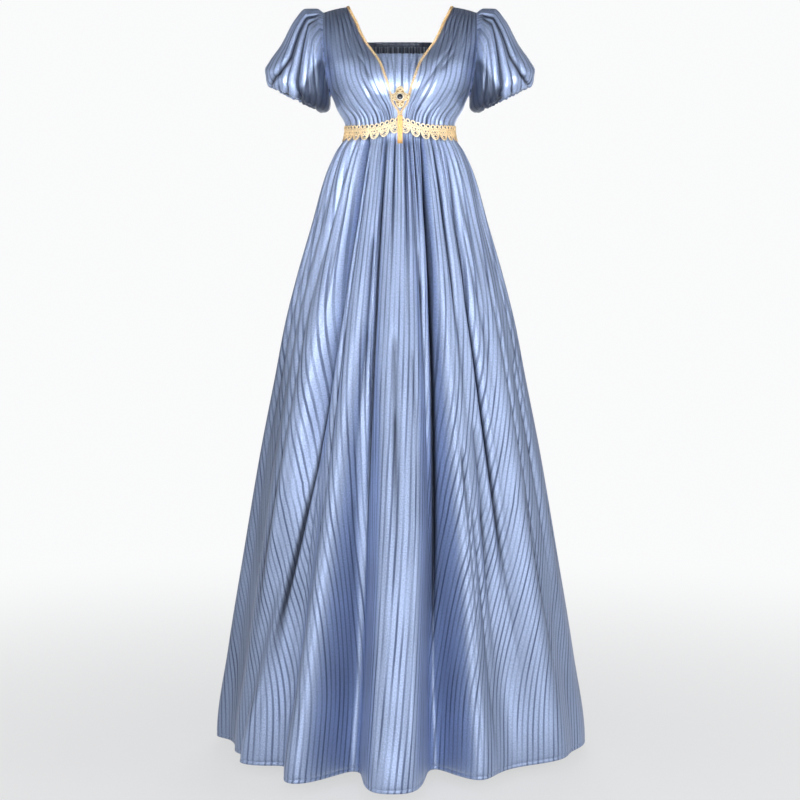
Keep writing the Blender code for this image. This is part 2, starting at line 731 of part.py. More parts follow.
def brooch():
    """A cross-shaped plate, a raised ring on it and the seat cut for the stone."""
    outline = bpy.data.curves.new("brooch_outline", "CURVE")
    outline.dimensions = "2D"
    outline.fill_mode = "BOTH"
    outline.extrude = BROOCH_THICK / 2
    line = outline.splines.new("POLY")
    line.points.add(BROOCH_STEPS - 1)
    line.use_cyclic_u = True
    for n, point in enumerate(line.points):
        turn = math.tau * n / BROOCH_STEPS
        reach = brooch_outline(turn)
        point.co = (reach * math.cos(turn), reach * math.sin(turn), 0, 1)
    flat = bpy.data.objects.new("brooch_flat", outline)
    helpers.objects.link(flat)
    drawn = flat.evaluated_get(bpy.context.evaluated_depsgraph_get())
    mesh = bpy.data.meshes.new_from_object(drawn)
    bpy.data.objects.remove(flat, do_unlink=True)
    work = bmesh.new()
    work.from_mesh(mesh)
    bmesh.ops.remove_doubles(work, verts=work.verts, dist=0.01 * MM)
    bmesh.ops.translate(work, verts=work.verts, vec=(0, 0, BROOCH_THICK / 2))
    work.to_mesh(mesh)
    work.free()
    plate = bpy.data.objects.new("brooch", mesh)
    gown.objects.link(plate)
    mesh.materials.clear()
    mesh.materials.append(material("brooch_gilt", "gilt"))
    place = brooch_place()
    plate.matrix_world = place
    seat = GEM_RADIUS + GEM_CLEARANCE
    ring_top = BROOCH_THICK + BROOCH_RIM
    joined = plate.modifiers.new("ring", "BOOLEAN")
    joined.operation = "UNION"
    joined.object = short_cylinder("brooch_ring", seat + BROOCH_RING, GEM_FLOOR, ring_top, place)
    cut = plate.modifiers.new("seat", "BOOLEAN")
    cut.operation = "DIFFERENCE"
    cut.object = short_cylinder("brooch_seat", seat, GEM_FLOOR, ring_top + BROOCH_RIM, place)


def brooch_gem():
    """The domed stone in its seat."""
    mesh = bpy.data.meshes.new("brooch_gem")
    work = bmesh.new()
    bmesh.ops.create_uvsphere(work, u_segments=GEM_STEPS, v_segments=GEM_STEPS // 2,
                              radius=GEM_RADIUS)
    bmesh.ops.scale(work, vec=(1, 1, GEM_HALF_HEIGHT / GEM_RADIUS), verts=work.verts)
    middle = GEM_FLOOR + GEM_CLEARANCE + GEM_HALF_HEIGHT
    bmesh.ops.translate(work, verts=work.verts, vec=(0, 0, middle))
    work.to_mesh(mesh)
    work.free()
    mesh.shade_smooth()
    mesh.materials.append(material("brooch_gem_stone", "stone"))
    stone = bpy.data.objects.new("brooch_gem", mesh)
    gown.objects.link(stone)
    stone.matrix_world = brooch_place()


def drop_tab():
    """A flat ribbon with a crease down its middle, hanging in front of the belt."""
    rows = []
    steps = 6
    hang = -bodice(0, down_at(0, TAB_TOP_Z)).y
    for r in range(steps + 1):
        z = blend(TAB_TOP_Z, TAB_FOOT_Z, r / steps)
        on = max(hang, -skirt_point(0, z, [], True).y)
        y = -(on + 2 * LAID_ON + WALL + TAB_CREASE)
        rows.append([Vector((x * TAB_HALF_WIDTH, y + crease * TAB_CREASE, z))
                     for x, crease in ((-1, 0), (0, 1), (1, 0))])
    return sheet("drop_tab", rows, "ribbon", TRIM_WALL, outward=True)


clear_scene()
gown = bpy.data.collections.new("regency_gown")
helpers = bpy.data.collections.new("regency_gown_helpers")
bpy.context.scene.collection.children.link(gown)
bpy.context.scene.collection.children.link(helpers)

bodice_front("bodice_front_left", 1)
bodice_front("bodice_front_right", -1)
modesty_panel()
bodice_back()
back_neck_band()
sleeve("sleeve_left", 1)
sleeve("sleeve_right", -1)
skirt("skirt_front", FRONT_TROUGHS, True)
skirt("skirt_back", BACK_TROUGHS, False)
belt("belt_front", True)
belt("belt_back", False)
neck_trim("neck_trim_left", 1)
neck_trim("neck_trim_right", -1)
brooch()
brooch_gem()
drop_tab()
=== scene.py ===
"""Regency gown: the finish of its striped satin, lace belt, braid, brooch and ribbon tab.

Metres, +Z up, the front faces -Y, +X is the wearer's left. The sections follow the gown as
it is put together, from the two fronts to the trimmings.
"""
import math

import bmesh
import bpy
import numpy as np
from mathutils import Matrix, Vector


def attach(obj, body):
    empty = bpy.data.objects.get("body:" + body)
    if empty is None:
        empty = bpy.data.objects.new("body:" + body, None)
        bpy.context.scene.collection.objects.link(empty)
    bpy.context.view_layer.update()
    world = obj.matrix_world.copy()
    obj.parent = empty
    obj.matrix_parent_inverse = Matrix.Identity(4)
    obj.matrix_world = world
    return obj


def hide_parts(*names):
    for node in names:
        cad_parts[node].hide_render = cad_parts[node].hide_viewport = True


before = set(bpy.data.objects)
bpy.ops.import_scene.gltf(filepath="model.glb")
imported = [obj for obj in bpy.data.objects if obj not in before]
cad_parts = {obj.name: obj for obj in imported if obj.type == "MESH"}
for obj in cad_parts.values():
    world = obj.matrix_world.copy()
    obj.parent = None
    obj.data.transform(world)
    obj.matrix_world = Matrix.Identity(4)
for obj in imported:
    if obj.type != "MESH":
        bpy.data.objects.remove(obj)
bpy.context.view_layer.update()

MM = 0.001

# ---- Bodice fronts -------------------------------------------------------------------
# Two fronts of striped satin, each cut with its strap. Each is gathered into the shoulder
# seam and again into the empire seam, so that the fullness stands over the bust.

SHOULDER_END = (154 * MM, -11.5 * MM)       # width, height
UNDERARM = (139.5 * MM, -176 * MM)
ARMHOLE_FRONT = 48 * MM
ARMHOLE_BACK = 50 * MM
ARMHOLE_BOW = 5 * MM
NECK_RISE = 2.9 * MM
EMPIRE_SIDE_Z = -250 * MM
EMPIRE_FRONT_Z = -238 * MM
SHOULDER_CURVE = 4.0
EMPIRE_CURVE = 1.5
BODY_SQUARENESS = 2.3
ARM_FLATNESS = 0.443            # how much of the row's curve is left out at the armhole
ARM_FLAT_TO = (0.45, 0.85)      # how far down that share holds, and where it has gone
ARMHOLE_EASE = 0.12             # how softly the foot of the armhole runs into the row below
ARMHOLE_EDGE_POWER = 8          # how close to the seam the armhole keeps its own line
EMPIRE_HALF = 111 * MM
CUP = dict(x=62 * MM, z=-158 * MM, radius=50 * MM, depth=13 * MM)
SATIN_WALL = 0.8 * MM
STRIPE_PITCH = 14 * MM
FRONT_ROWS = 136
FRONT_COLUMNS = 112
GATHERS_SPREAD = 0.45           # how far the empire gathers are drawn in to the middle
# painted shade on the strap, which faces up out of the light
STRAP_SHADE = 0.52
# The top edge of the lace belt, which peaks in front, and how much painted shade falls on the
# cloth behind it.
BELT_TOP_Z = -239 * MM
BELT_PEAK = 14.5 * MM
BELT_PEAK_REACH = 34 * MM
BELT_SHADE = 0.85
BELT_SHADE_EDGES = (-1 * MM, 4 * MM, 27 * MM, 32 * MM)      # drops where it comes and goes


class Table:
    """Rows of named columns in millimetres, the first the key; smooth between rows."""

    def __init__(self, names, rows):
        self.names = names.split()
        self.values = np.array(rows, float)
        self.turn = -1.0 if self.values[0, 0] > self.values[-1, 0] else 1.0

    def at(self, name, key, unit=MM):
        keys = self.turn * self.values[:, 0]
        values = self.values[:, self.names.index(name)]
        key = np.clip(self.turn * np.asarray(key, float), keys[0], keys[-1])
        rise = np.diff(values) / np.diff(keys)
        slopes = np.zeros(len(keys))
        slopes[0] = rise[0]
        both = rise[:-1] * rise[1:]
        total = np.where(both > 0, rise[:-1] + rise[1:], 1.0)
        slopes[1:-1] = np.where(both > 0, 2 * both / total, 0.0)
        i = np.clip(np.searchsorted(keys, key, "right") - 1, 0, len(keys) - 2)
        span = keys[i + 1] - keys[i]
        f = (key - keys[i]) / span
        return unit * (values[i] * (2 * f ** 3 - 3 * f ** 2 + 1)
                       + values[i + 1] * (3 * f ** 2 - 2 * f ** 3)
                       + slopes[i] * span * (f ** 3 - 2 * f ** 2 + f)
                       + slopes[i + 1] * span * (f ** 3 - f ** 2))


# How far down the bodice (0 shoulder, 1 empire seam): depth forward and back in the middle
# of the row, and half the opening of the V.
BODICE = Table("down front back opening", [
    (0.00, 0, 0, 102.5),
    (0.004, 8, 8, 102.0),
    (0.03, 22, 24, 99.0),
    (0.08, 36, 42, 93.5),
    (0.15, 50, 57, 85.0),
    (0.23, 64, 69, 77.0),
    (0.32, 78, 78, 66.5),
    (0.41, 90, 84, 51.5),
    (0.50, 99, 87, 37.5),
    (0.60, 106, 89, 28.5),
    (0.69, 108, 90, 21.0),
    (0.76, 106, 88, 16.5),
    (0.83, 101, 86, 12.0),
    (0.91, 95, 83, 0.25),
    (0.95, 92, 81, 0.25),
    (1.00, 90, 80, 0.25),
])
BODICE_SIDE = Table("z width", [
    (-176, 139.5),
    (-190, 133.5),
    (-205, 128.0),
    (-215, 122.5),
    (-226, 115.5),
    (-238, 111.0),
    (-250, 111.0),
])


def blend(a, b, f):
    return a + (b - a) * f


def smooth(low, high, value):
    """0 below low, 1 above high, an S curve between."""
    f = np.clip((np.asarray(value, float) - low) / (high - low), 0, 1)
    return f * f * (3 - 2 * f)


def outer_edge(down, front):
    """The armhole and side seam: width, reach forward or back, height."""
    z = blend(SHOULDER_END[1], EMPIRE_SIDE_Z, down)
    middle = (SHOULDER_END[1] + UNDERARM[1]) / 2
    half = (SHOULDER_END[1] - UNDERARM[1]) / 2
    cos = np.clip((z - middle) / half, -1, 1)
    sin = np.sqrt(1 - cos * cos)
    x = blend(UNDERARM[0], SHOULDER_END[0], (cos + 1) / 2) + ARMHOLE_BOW * sin * sin
    x = np.where(z < UNDERARM[1], BODICE_SIDE.at("width", z / MM), x)
    return x, (ARMHOLE_FRONT if front else ARMHOLE_BACK) * sin, z


def row_height(across, down, front):
    foot = EMPIRE_FRONT_Z if front else EMPIRE_SIDE_Z
    middle = blend(NECK_RISE, foot, down)
    power = blend(SHOULDER_CURVE, EMPIRE_CURVE, down)
    outer = blend(SHOULDER_END[1], EMPIRE_SIDE_Z, down)
    return blend(middle, outer, np.abs(across) ** power)


def bodice(across, down, front=True):
    """Points on the outer face of the bodice; across runs from -1 to 1 between its edges."""
    across, down = np.broadcast_arrays(np.asarray(across, float), np.asarray(down, float))
    edge_x, edge_y, _ = outer_edge(down, front)
    depth = BODICE.at("front" if front else "back", down)
    power = BODY_SQUARENESS
    floor = ARM_FLATNESS * (1 - smooth(*ARM_FLAT_TO, down))
    share = (1 - floor ** power) ** (1 / power)
    curve = (1 - np.minimum(1.0, share * np.abs(across)) ** power) ** (1 / power)
    # away from the seam itself the foot of the armhole is eased into the row below
    sin = edge_y / (ARMHOLE_FRONT if front else ARMHOLE_BACK)
    eased = (1 + ARMHOLE_EASE) * sin * sin / (sin * sin + ARMHOLE_EASE)
    edge_y = edge_y * blend(eased, 1.0, np.abs(across) ** ARMHOLE_EDGE_POWER)
    out = blend(edge_y, depth, (curve - floor) / (1 - floor))
    x = across * edge_x
    z = row_height(across, down, front)
    if front:
        off = ((np.abs(x) - CUP["x"]) ** 2 + (z - CUP["z"]) ** 2) / CUP["radius"] ** 2
        out = out + CUP["depth"] * np.exp(-off)
    return np.stack([x, -out if front else out, z], axis=-1)


def down_at(across, z, front=True):
    """How far down the bodice the height z lies."""
    low = np.zeros(np.broadcast(across, z).shape)
    high = np.ones_like(low)
    for _ in range(30):
        middle = (low + high) / 2
        above = row_height(across, middle, front) > z
        low = np.where(above, middle, low)
        high = np.where(above, high, middle)
    return (low + high) / 2


def outward(points):
    """Unit normals of a grid of points, facing away from the wearer's axis."""
    rows = np.gradient(points, axis=0)
    columns = np.gradient(points, axis=1)
    normal = np.cross(columns, rows)
    length = np.linalg.norm(normal, axis=-1, keepdims=True)
    normal = normal / np.maximum(length, 1e-12)
    away = points * (1, 1, 0)
    facing = np.sign((normal * away).sum())
    return normal * (facing if facing else 1)


def raised(points, height):
    """The grid moved out along its own normals."""
    return points + outward(points) * np.asarray(height)[..., None]


def valley(place, centre, width, power=1.6):
    """A soft trough, 1 in its middle."""
    return np.exp(-np.abs((place - centre) / width) ** power)


def blurred(values, reach, closed=False):
    """Running mean over the columns."""
    padded = np.pad(values, ((0, 0), (reach + 1, reach)), mode="wrap" if closed else "edge")
    total = np.cumsum(padded, axis=1)
    return (total[:, 2 * reach + 1:] - total[:, :-2 * reach - 1]) / (2 * reach + 1)


def closed_in(depth, reach, full, closed=False):
    """How closed in the cloth is by the folds beside it, 0 to 1."""
    return np.clip((depth - blurred(depth, reach, closed)) / full, 0, 1)


def rounded_pleat(place, slot, half):
    """Depth beside a slot where two rounded pleats meet: 1 in the slot, 0 from half on."""
    return (1 - np.minimum(np.abs(place - slot) / half, 1)) ** 2.2


def along_rows(points):
    """Length of cloth from the first column of each row."""
    step = np.linalg.norm(np.diff(points, axis=1), axis=-1)
    return np.concatenate([np.zeros((len(points), 1)), np.cumsum(step, axis=1)], axis=1)


def along_columns(points):
    step = np.linalg.norm(np.diff(points, axis=0), axis=-1)
    return np.concatenate([np.zeros((1, points.shape[1])), np.cumsum(step, axis=0)], axis=0)


def under_belt(points, front=True):
    """How little light reaches the cloth under the lace belt, 0 to 1."""
    peak = BELT_PEAK * np.exp(-(points[..., 0] / BELT_PEAK_REACH) ** 2) if front else 0
    drop = BELT_TOP_Z + peak - points[..., 2]
    come, full, going, gone = BELT_SHADE_EDGES
    return smooth(come, full, drop) * (1 - smooth(going, gone, drop))


def placed(name, data):
    """An object of this mesh, light or camera, put in the scene."""
    thing = bpy.data.objects.new(name, data)
    bpy.context.scene.collection.objects.link(thing)
    return thing


def cloth(name, points, across, along, material, wall=SATIN_WALL, wrong_side=None, fold_and_painted_shade=0.0):
    """A thin sheet through a grid of points, with its threads' directions as a UV map and,
    as a point attribute, how little light reaches each point, which the satin paints into its
    colour as shade."""
    rows, columns = points.shape[:2]
    index = np.arange(rows * columns).reshape(rows, columns)
    quads = np.stack([index[:-1, :-1], index[1:, :-1], index[1:, 1:], index[:-1, 1:]], -1)
    quads = quads.reshape(-1, 4)
    flat = points.reshape(-1, 3)
    a, b, c = (flat[quads[:, k]] for k in (0, 1, 2))
    facing = np.cross(b - a, c - a)
    if (facing * (a * (1, 1, 0))).sum() < 0:
        quads = quads[:, ::-1]
    mesh = bpy.data.meshes.new(name + "_cloth")
    mesh.from_pydata(flat.tolist(), [], quads.tolist())
    threads = np.stack(np.broadcast_arrays(across, along), -1).reshape(-1, 2)
    layer = mesh.uv_layers.new(name="threads")
    layer.data.foreach_set("uv", threads[quads.ravel()].astype(np.float32).ravel())
    # painted shade: the share of shade to be painted into the satin's colour at each point
    shade = mesh.attributes.new("fold_and_painted_shade", "FLOAT", "POINT")
    shade.data.foreach_set("value", np.broadcast_to(fold_and_painted_shade, (rows, columns)).ravel().astype(
        np.float32))
    mesh.shade_smooth()
    mesh.materials.append(material)
    thing = placed(name + "_cloth", mesh)
    wall_modifier = thing.modifiers.new("wall", "SOLIDIFY")
    wall_modifier.thickness = wall
    wall_modifier.offset = -1.0
    if wrong_side:
        mesh.materials.append(wrong_side)
        wall_modifier.material_offset = 1
    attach(thing, "root")
    return thing


def new_group(name, inputs, outputs):
    """An empty shader node group with named sockets."""
    group = bpy.data.node_groups.new(name, "ShaderNodeTree")
    for label, kind in inputs:
        group.interface.new_socket(label, in_out="INPUT", socket_type="NodeSocket" + kind)
    for label, kind in outputs:
        group.interface.new_socket(label, in_out="OUTPUT", socket_type="NodeSocket" + kind)
    return group, group.nodes.new("NodeGroupInput"), group.nodes.new("NodeGroupOutput")


def node(tree, kind, settings=(), **inputs):
    """A node with its settings, its inputs given as values or as links from sockets."""
    made = tree.nodes.new("ShaderNode" + kind)
    for name, value in dict(settings).items():
        setattr(made, name, value)
    for name, value in inputs.items():
        place = int(name[1:]) if name[1:].isdigit() else name.replace("_", " ")
        socket = made.inputs[place]
        if isinstance(value, bpy.types.NodeSocket):
            tree.links.new(value, socket)
        else:
            socket.default_value = value
    return made


def maths(tree, operation, a, b=0.0):
    return node(tree, "Math", dict(operation=operation), i0=a, i1=b).outputs[0]


def mixed(tree, factor, a, b, kind="MIX"):
    """Two colours mixed."""
    made = node(tree, "Mix", dict(data_type="RGBA", blend_type=kind), i0=factor, i6=a, i7=b)
    return made.outputs[2]


# painted shade: how far, and toward which near-black blue, shaded cloth has its colour mixed
PAINTED_SHADE_STRENGTH = 0.93
PAINTED_SHADE_COLOUR = (0.010, 0.016, 0.034)
SATIN_ROUGHNESS = 0.38


def satin_weave():
    """Satin stripe: wide lustrous bands with a narrow duller line between them, a fine
    sparkle of threads, and slow changes of tone along the piece, over which painted shade,
    given from 0 to 1, mixes the colour toward a near-black blue."""
    group, given, result = new_group(
        "satin weave",
        [("Threads", "Vector"), ("Pitch", "Float"), ("Band", "Color"), ("Line", "Color"),
         ("Painted_shade", "Float")],
        [("Color", "Color"), ("Roughness", "Float"), ("Height", "Float")])
    threads = given.outputs["Threads"]
    parts = node(group, "SeparateXYZ", i0=threads)
    place = maths(group, "DIVIDE", parts.outputs[0], given.outputs["Pitch"])
    wander = node(group, "TexNoise", Vector=threads, Scale=6.0, Detail=1.0)
    place = maths(group, "ADD", place, maths(group, "MULTIPLY", wander.outputs[0], 0.3))
    saw = maths(group, "ABSOLUTE", maths(group, "SUBTRACT", maths(group, "FRACT", place), 0.5))
    band = node(group, "MapRange", dict(interpolation_type="SMOOTHSTEP"),
                Value=saw, From_Min=0.10, From_Max=0.24)
    # each line is worn or pressed more in some places than in others
    long = node(group, "Mapping", Vector=threads, Scale=(40.0, 5.0, 1.0))
    wear_and_painted_shade = node(group, "TexNoise", Vector=long.outputs[0], Scale=1.0, Detail=1.0)
    fade = node(group, "MapRange", Value=wear_and_painted_shade.outputs[0], From_Min=0.35, From_Max=0.65,
                To_Min=0.25, To_Max=1.0)
    line = maths(group, "MULTIPLY", maths(group, "SUBTRACT", 1.0, band.outputs[0]),
                 fade.outputs[0])
    sparkle = node(group, "TexNoise", Vector=threads, Scale=380.0, Detail=3.0, Roughness=0.75)
    slow = node(group, "TexNoise", Vector=threads, Scale=7.0, Detail=2.0)
    colour = mixed(group, line, given.outputs["Band"], given.outputs["Line"])
    grain = node(group, "MapRange", Value=sparkle.outputs[0], From_Min=0.28, From_Max=0.72,
                 To_Min=0.66, To_Max=1.36)
    tone = node(group, "MapRange", Value=slow.outputs[0], From_Min=0.3, From_Max=0.7,
                To_Min=0.93, To_Max=1.07)
    shade = maths(group, "MULTIPLY", grain.outputs[0], tone.outputs[0])
    grey = node(group, "CombineColor", i0=shade, i1=shade, i2=shade)
    colour = mixed(group, 1.0, colour, grey.outputs[0], "MULTIPLY")
    # painted shade: where little light would come back out of a closed fold, or the cloth lies
    # in shade, the colour is mixed toward a near-black blue
    closed = maths(group, "MULTIPLY", given.outputs["Painted_shade"], PAINTED_SHADE_STRENGTH)
    colour = mixed(group, closed, colour, (*PAINTED_SHADE_COLOUR, 1))
    rough = maths(group, "ADD", SATIN_ROUGHNESS, maths(group, "MULTIPLY", line, 0.16))
    rough = maths(group, "ADD", rough, maths(group, "MULTIPLY", sparkle.outputs[0], 0.08))
    height = maths(group, "SUBTRACT", maths(group, "MULTIPLY", sparkle.outputs[0], 0.25),
                   maths(group, "MULTIPLY", line, 0.6))
    group.links.new(colour, result.inputs["Color"])
    group.links.new(rough, result.inputs["Roughness"])
    group.links.new(height, result.inputs["Height"])
    return group


def new_material(name, settings):
    """A material with its shader's plain settings, ready for its links."""
    made = bpy.data.materials.new(name)
    made.use_nodes = True
    shader = made.node_tree.nodes["Principled BSDF"]
    for label, value in settings.items():
        shader.inputs[label].default_value = value
    return made, made.node_tree, shader


def satin(name, band, line, settings, bump, outside=True):
    made, tree, shader = new_material(name, settings)
    threads = node(tree, "UVMap", dict(uv_map="threads"))
    weave = tree.nodes.new("ShaderNodeGroup")
    weave.node_tree = WEAVE
    tree.links.new(threads.outputs[0], weave.inputs["Threads"])
    fold_and_painted_shade = node(tree, "Attribute", dict(attribute_name="fold_and_painted_shade"))
    closed = fold_and_painted_shade.outputs["Fac"]
    if not outside:
        # painted shade on the wrong side: its colour is darkened all over, as the inside lies in
        # shade, and less where a fold that closes on the outside stands out as a ridge
        closed = maths(tree, "MULTIPLY", maths(tree, "SUBTRACT", 1.0, closed), 0.9)
    tree.links.new(closed, weave.inputs["Painted_shade"])
    weave.inputs["Pitch"].default_value = STRIPE_PITCH
    weave.inputs["Band"].default_value = (*band, 1)
    weave.inputs["Line"].default_value = (*line, 1)
    relief = node(tree, "Bump", Height=weave.outputs["Height"], Strength=bump,
                  Distance=0.5 * MM)
    tree.links.new(weave.outputs["Color"], shader.inputs["Base Color"])
    tree.links.new(weave.outputs["Roughness"], shader.inputs["Roughness"])
    tree.links.new(relief.outputs[0], shader.inputs["Normal"])
    return made


WEAVE = satin_weave()
SATIN = satin("striped_satin", (0.385, 0.478, 0.705), (0.145, 0.190, 0.322),
              {"Metallic": 0.68, "Specular IOR Level": 0.5, "Sheen Weight": 0.10,
               "Sheen Roughness": 0.4, "Sheen Tint": (0.8, 0.87, 1.0, 1.0)}, 0.8)
WRONG_SIDE = satin("satin_wrong_side", (0.58, 0.65, 0.80), (0.30, 0.36, 0.50),
                   {"Metallic": 0.5, "Specular IOR Level": 0.35, "Sheen Weight": 0.2}, 0.5,
                   outside=False)

# Flat width of a front that lies across one row, from the armhole to the V, by how far down.
FRONT_WIDTH = Table("down width", [
    (0.0, 104),
    (0.3, 128),
    (0.6, 160),
    (1.0, 172),
])
# Gathers run from the shoulder and from the empire seam. Place is the share of the row from
# the V to the armhole; reach is how far down or up they die out.
SHOULDER_GATHERS = [(0.06, 0.20), (0.19, 0.34), (0.32, 0.24), (0.45, 0.40), (0.57, 0.26),
                    (0.69, 0.36), (0.80, 0.30), (0.91, 0.42)]
EMPIRE_GATHERS = [(0.14, 0.84), (0.21, 0.78), (0.28, 0.70), (0.35, 0.82), (0.42, 0.66),
                  (0.49, 0.80), (0.56, 0.74), (0.63, 0.84), (0.70, 0.64), (0.76, 0.80),
                  (0.82, 0.72), (0.88, 0.80), (0.94, 0.68)]

# Creases by side (1 the wearer's left): how far down they start and end, their place in the
# row at either end, half width, depth in millimetres and how late they turn.
BUST_CREASES = {
    1: [dict(top=0.36, foot=0.92, start=0.40, end=0.05, width=0.060, depth=4.6, bend=1.5),
        dict(top=0.36, foot=0.56, start=0.56, end=0.44, width=0.036, depth=2.4, bend=1.0),
        dict(top=0.55, foot=1.02, start=0.42, end=0.22, width=0.040, depth=2.6, bend=1.2),
        dict(top=0.60, foot=1.02, start=0.99, end=0.72, width=0.034, depth=2.8, bend=0.9)],
    -1: [dict(top=0.40, foot=0.66, start=0.34, end=0.28, width=0.046, depth=3.0, bend=1.0),
         dict(top=0.55, foot=1.02, start=0.46, end=0.24, width=0.044, depth=2.8, bend=1.3),
         dict(top=0.60, foot=1.02, start=0.99, end=0.76, width=0.034, depth=2.8, bend=0.8)],
}


def bodice_front(name, side):
    down = np.linspace(0, 1, FRONT_ROWS)[:, None] ** 1.1
    place = np.linspace(0, 1, FRONT_COLUMNS)[None, :]
    first = BODICE.at("opening", down) / outer_edge(down, True)[0]
    points = bodice(side * blend(first, 1.0, place), down)
    # the cloth runs on past the foot of the V without turning in with its edge
    reach = outer_edge(down, True)[0]
    steady = np.maximum(BODICE.at("opening", down), blend(24 * MM, 8 * MM, down))
    steady_place = (side * points[..., 0] - steady) / (reach - steady)
    # below the bust it is drawn in towards the middle of the belt
    drawn = 1 - GATHERS_SPREAD * smooth(0.55, 1.0, down)
    steady_place = np.sign(steady_place) * np.abs(steady_place) ** drawn
    depth = np.zeros(points.shape[:2])
    lean = 0.03 * np.sin(5 * down + 2 * side)
    for n, (at, length) in enumerate(SHOULDER_GATHERS):
        strength = (3.2 + 1.2 * math.sin(2.4 * n + side)) * MM
        fade = smooth(0, 0.015, down) * (1 - smooth(0.2 * length, 1.5 * length, down))
        depth += strength * fade * rounded_pleat(place, at + lean, 0.062)
    for n, (at, start) in enumerate(EMPIRE_GATHERS):
        strength = (3.6 + 1.2 * math.sin(1.7 * n + 2 * side)) * MM
        fade = smooth(start, 0.96, down)
        depth += strength * fade * rounded_pleat(steady_place, at, 0.036)
    # the long crease that runs down beside the brooch, and the slanting ones over the bust
    for crease in BUST_CREASES[side]:
        way = np.clip((down - crease["top"]) / (crease["foot"] - crease["top"]), 0, 1)
        at = blend(crease["start"], crease["end"], way ** crease["bend"])
        fade = smooth(0, 0.3, way) * (1 - smooth(0.7, 1.0, way))
        depth += crease["depth"] * MM * fade * valley(place, at, crease["width"], 1.3)
    edge = smooth(0, 0.03, place) * (1 - 0.85 * smooth(0.95, 1.0, place))
    depth *= edge
    points = raised(points, -depth)
    across = side * FRONT_WIDTH.at("width", down) * (1 - steady_place)
    # painted shade in the closed gathers and under the lace belt
    fold_and_painted_shade = np.maximum(closed_in(depth, 4, 2.0 * MM), BELT_SHADE * under_belt(points))
    # painted shade: the strap faces up, out of the light, as far down as the fullest part of the
    # bust, so its colour is darkened
    fold_and_painted_shade = np.maximum(fold_and_painted_shade, STRAP_SHADE * (1 - smooth(0.42, 0.56, down + 0.02 * place)))
    made = cloth(name, points, across, -along_columns(points), SATIN,
                 wrong_side=WRONG_SIDE, fold_and_painted_shade=fold_and_painted_shade)
    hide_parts(name)


bodice_front("bodice_front_left", 1)
bodice_front("bodice_front_right", -1)

# ---- Modesty panel -------------------------------------------------------------------
# A straight inset of the same satin, caught behind both fronts to fill the V, its top edge
# turned down and lightly eased.

MODESTY_TOP_Z = -98 * MM
MODESTY_TUCK = 9 * MM
MODESTY_SET_BACK = 3.4 * MM
MODESTY_GRID = (76, 84)
# Easing along the top edge: place from side to side, and share of the full depth.
MODESTY_EASE = [(-0.72, 1.0), (-0.5, 0.7), (-0.31, 1.2), (-0.1, 0.8), (0.08, 1.1), (0.27, 0.7),
                (0.45, 1.2), (0.66, 0.9)]


def modesty_panel():
    top = float(down_at(0.0, MODESTY_TOP_Z))
    down = blend(top, 0.93, np.linspace(0, 1, MODESTY_GRID[0])[:, None])
    place = np.linspace(-1, 1, MODESTY_GRID[1])[None, :]
    half = (BODICE.at("opening", down) + MODESTY_TUCK) / outer_edge(down, True)[0]
    points = raised(bodice(half * place, down), np.full(MODESTY_GRID, -MODESTY_SET_BACK))
    depth = np.zeros(MODESTY_GRID)
    for at, share in MODESTY_EASE:
        fade = 1 - 0.75 * smooth(top + 0.05, top + 0.32, down)
        depth += 1.8 * MM * share * fade * valley(place, at, 0.05)
    # the turned top edge, with its line of stitching
    depth += 0.5 * MM * valley(down, top + 0.028, 0.006)
    points = raised(points, -depth)
    # painted shade in the eased folds
    made = cloth("modesty_panel", points, points[..., 0], -along_columns(points), SATIN,
                 wrong_side=WRONG_SIDE, fold_and_painted_shade=closed_in(depth, 5, 3.2 * MM))
    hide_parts("modesty_panel")


modesty_panel()

# ---- Bodice back ---------------------------------------------------------------------
# One back with two straps and a square neck, drawn in below the neck casing by its elastic
# and gathered a little into the empire seam.

BACK_NECK_Z = -64 * MM
CASING_HEIGHT = 9 * MM
STRAP_X = 101 * MM
BACK_STRAP_ROWS = 33            # rows above the casing, cut away between the straps
BACK_ROWS = 110
BACK_COLUMNS = 200
BACK_MIDDLE_SHARE = 0.68        # share of the columns that lies between the straps
NECK_PUCKERS = 34
EMPIRE_PUCKERS = 26
STRAP_PUCKERS = 9


def back_depth(down, x):
    """Gathers of the back, deepest just below the neck casing and above the empire seam."""
    neck = float(down_at(0.0, BACK_NECK_Z - CASING_HEIGHT, front=False))
    inside = 1 - smooth(STRAP_X - 6 * MM, STRAP_X, np.abs(x))
    depth = np.zeros(np.broadcast(down, x).shape)
    draw = np.random.default_rng(11)
    for n in range(NECK_PUCKERS):
        at = (-98 + 196 * (n + 0.5 + 0.5 * (draw.random() - 0.5)) / NECK_PUCKERS) * MM
        fade = smooth(neck - 0.01, neck, down) * (
            1 - smooth(neck + 0.05, neck + 0.12 + 0.25 * draw.random(), down))
        depth += (2.0 + 1.2 * draw.random()) * MM * inside * fade * valley(x, at, 1.6 * MM)
    for n in range(EMPIRE_PUCKERS):
        at = (-108 + 216 * (n + 0.5 + 0.6 * (draw.random() - 0.5)) / EMPIRE_PUCKERS) * MM
        fade = smooth(0.62 + 0.2 * draw.random(), 0.97, down)
        depth += (1.2 + 1.4 * draw.random()) * MM * fade * valley(x, at, 2.2 * MM)
    for n in range(STRAP_PUCKERS):
        for side in (-1, 1):
            at = side * (106 + 5.6 * n) * MM
            fade = smooth(0, 0.02, down) * (1 - smooth(0.08, 0.24 + 0.08 * draw.random(), down))
            depth += 1.2 * MM * fade * valley(x, at, 1.8 * MM)
    return depth


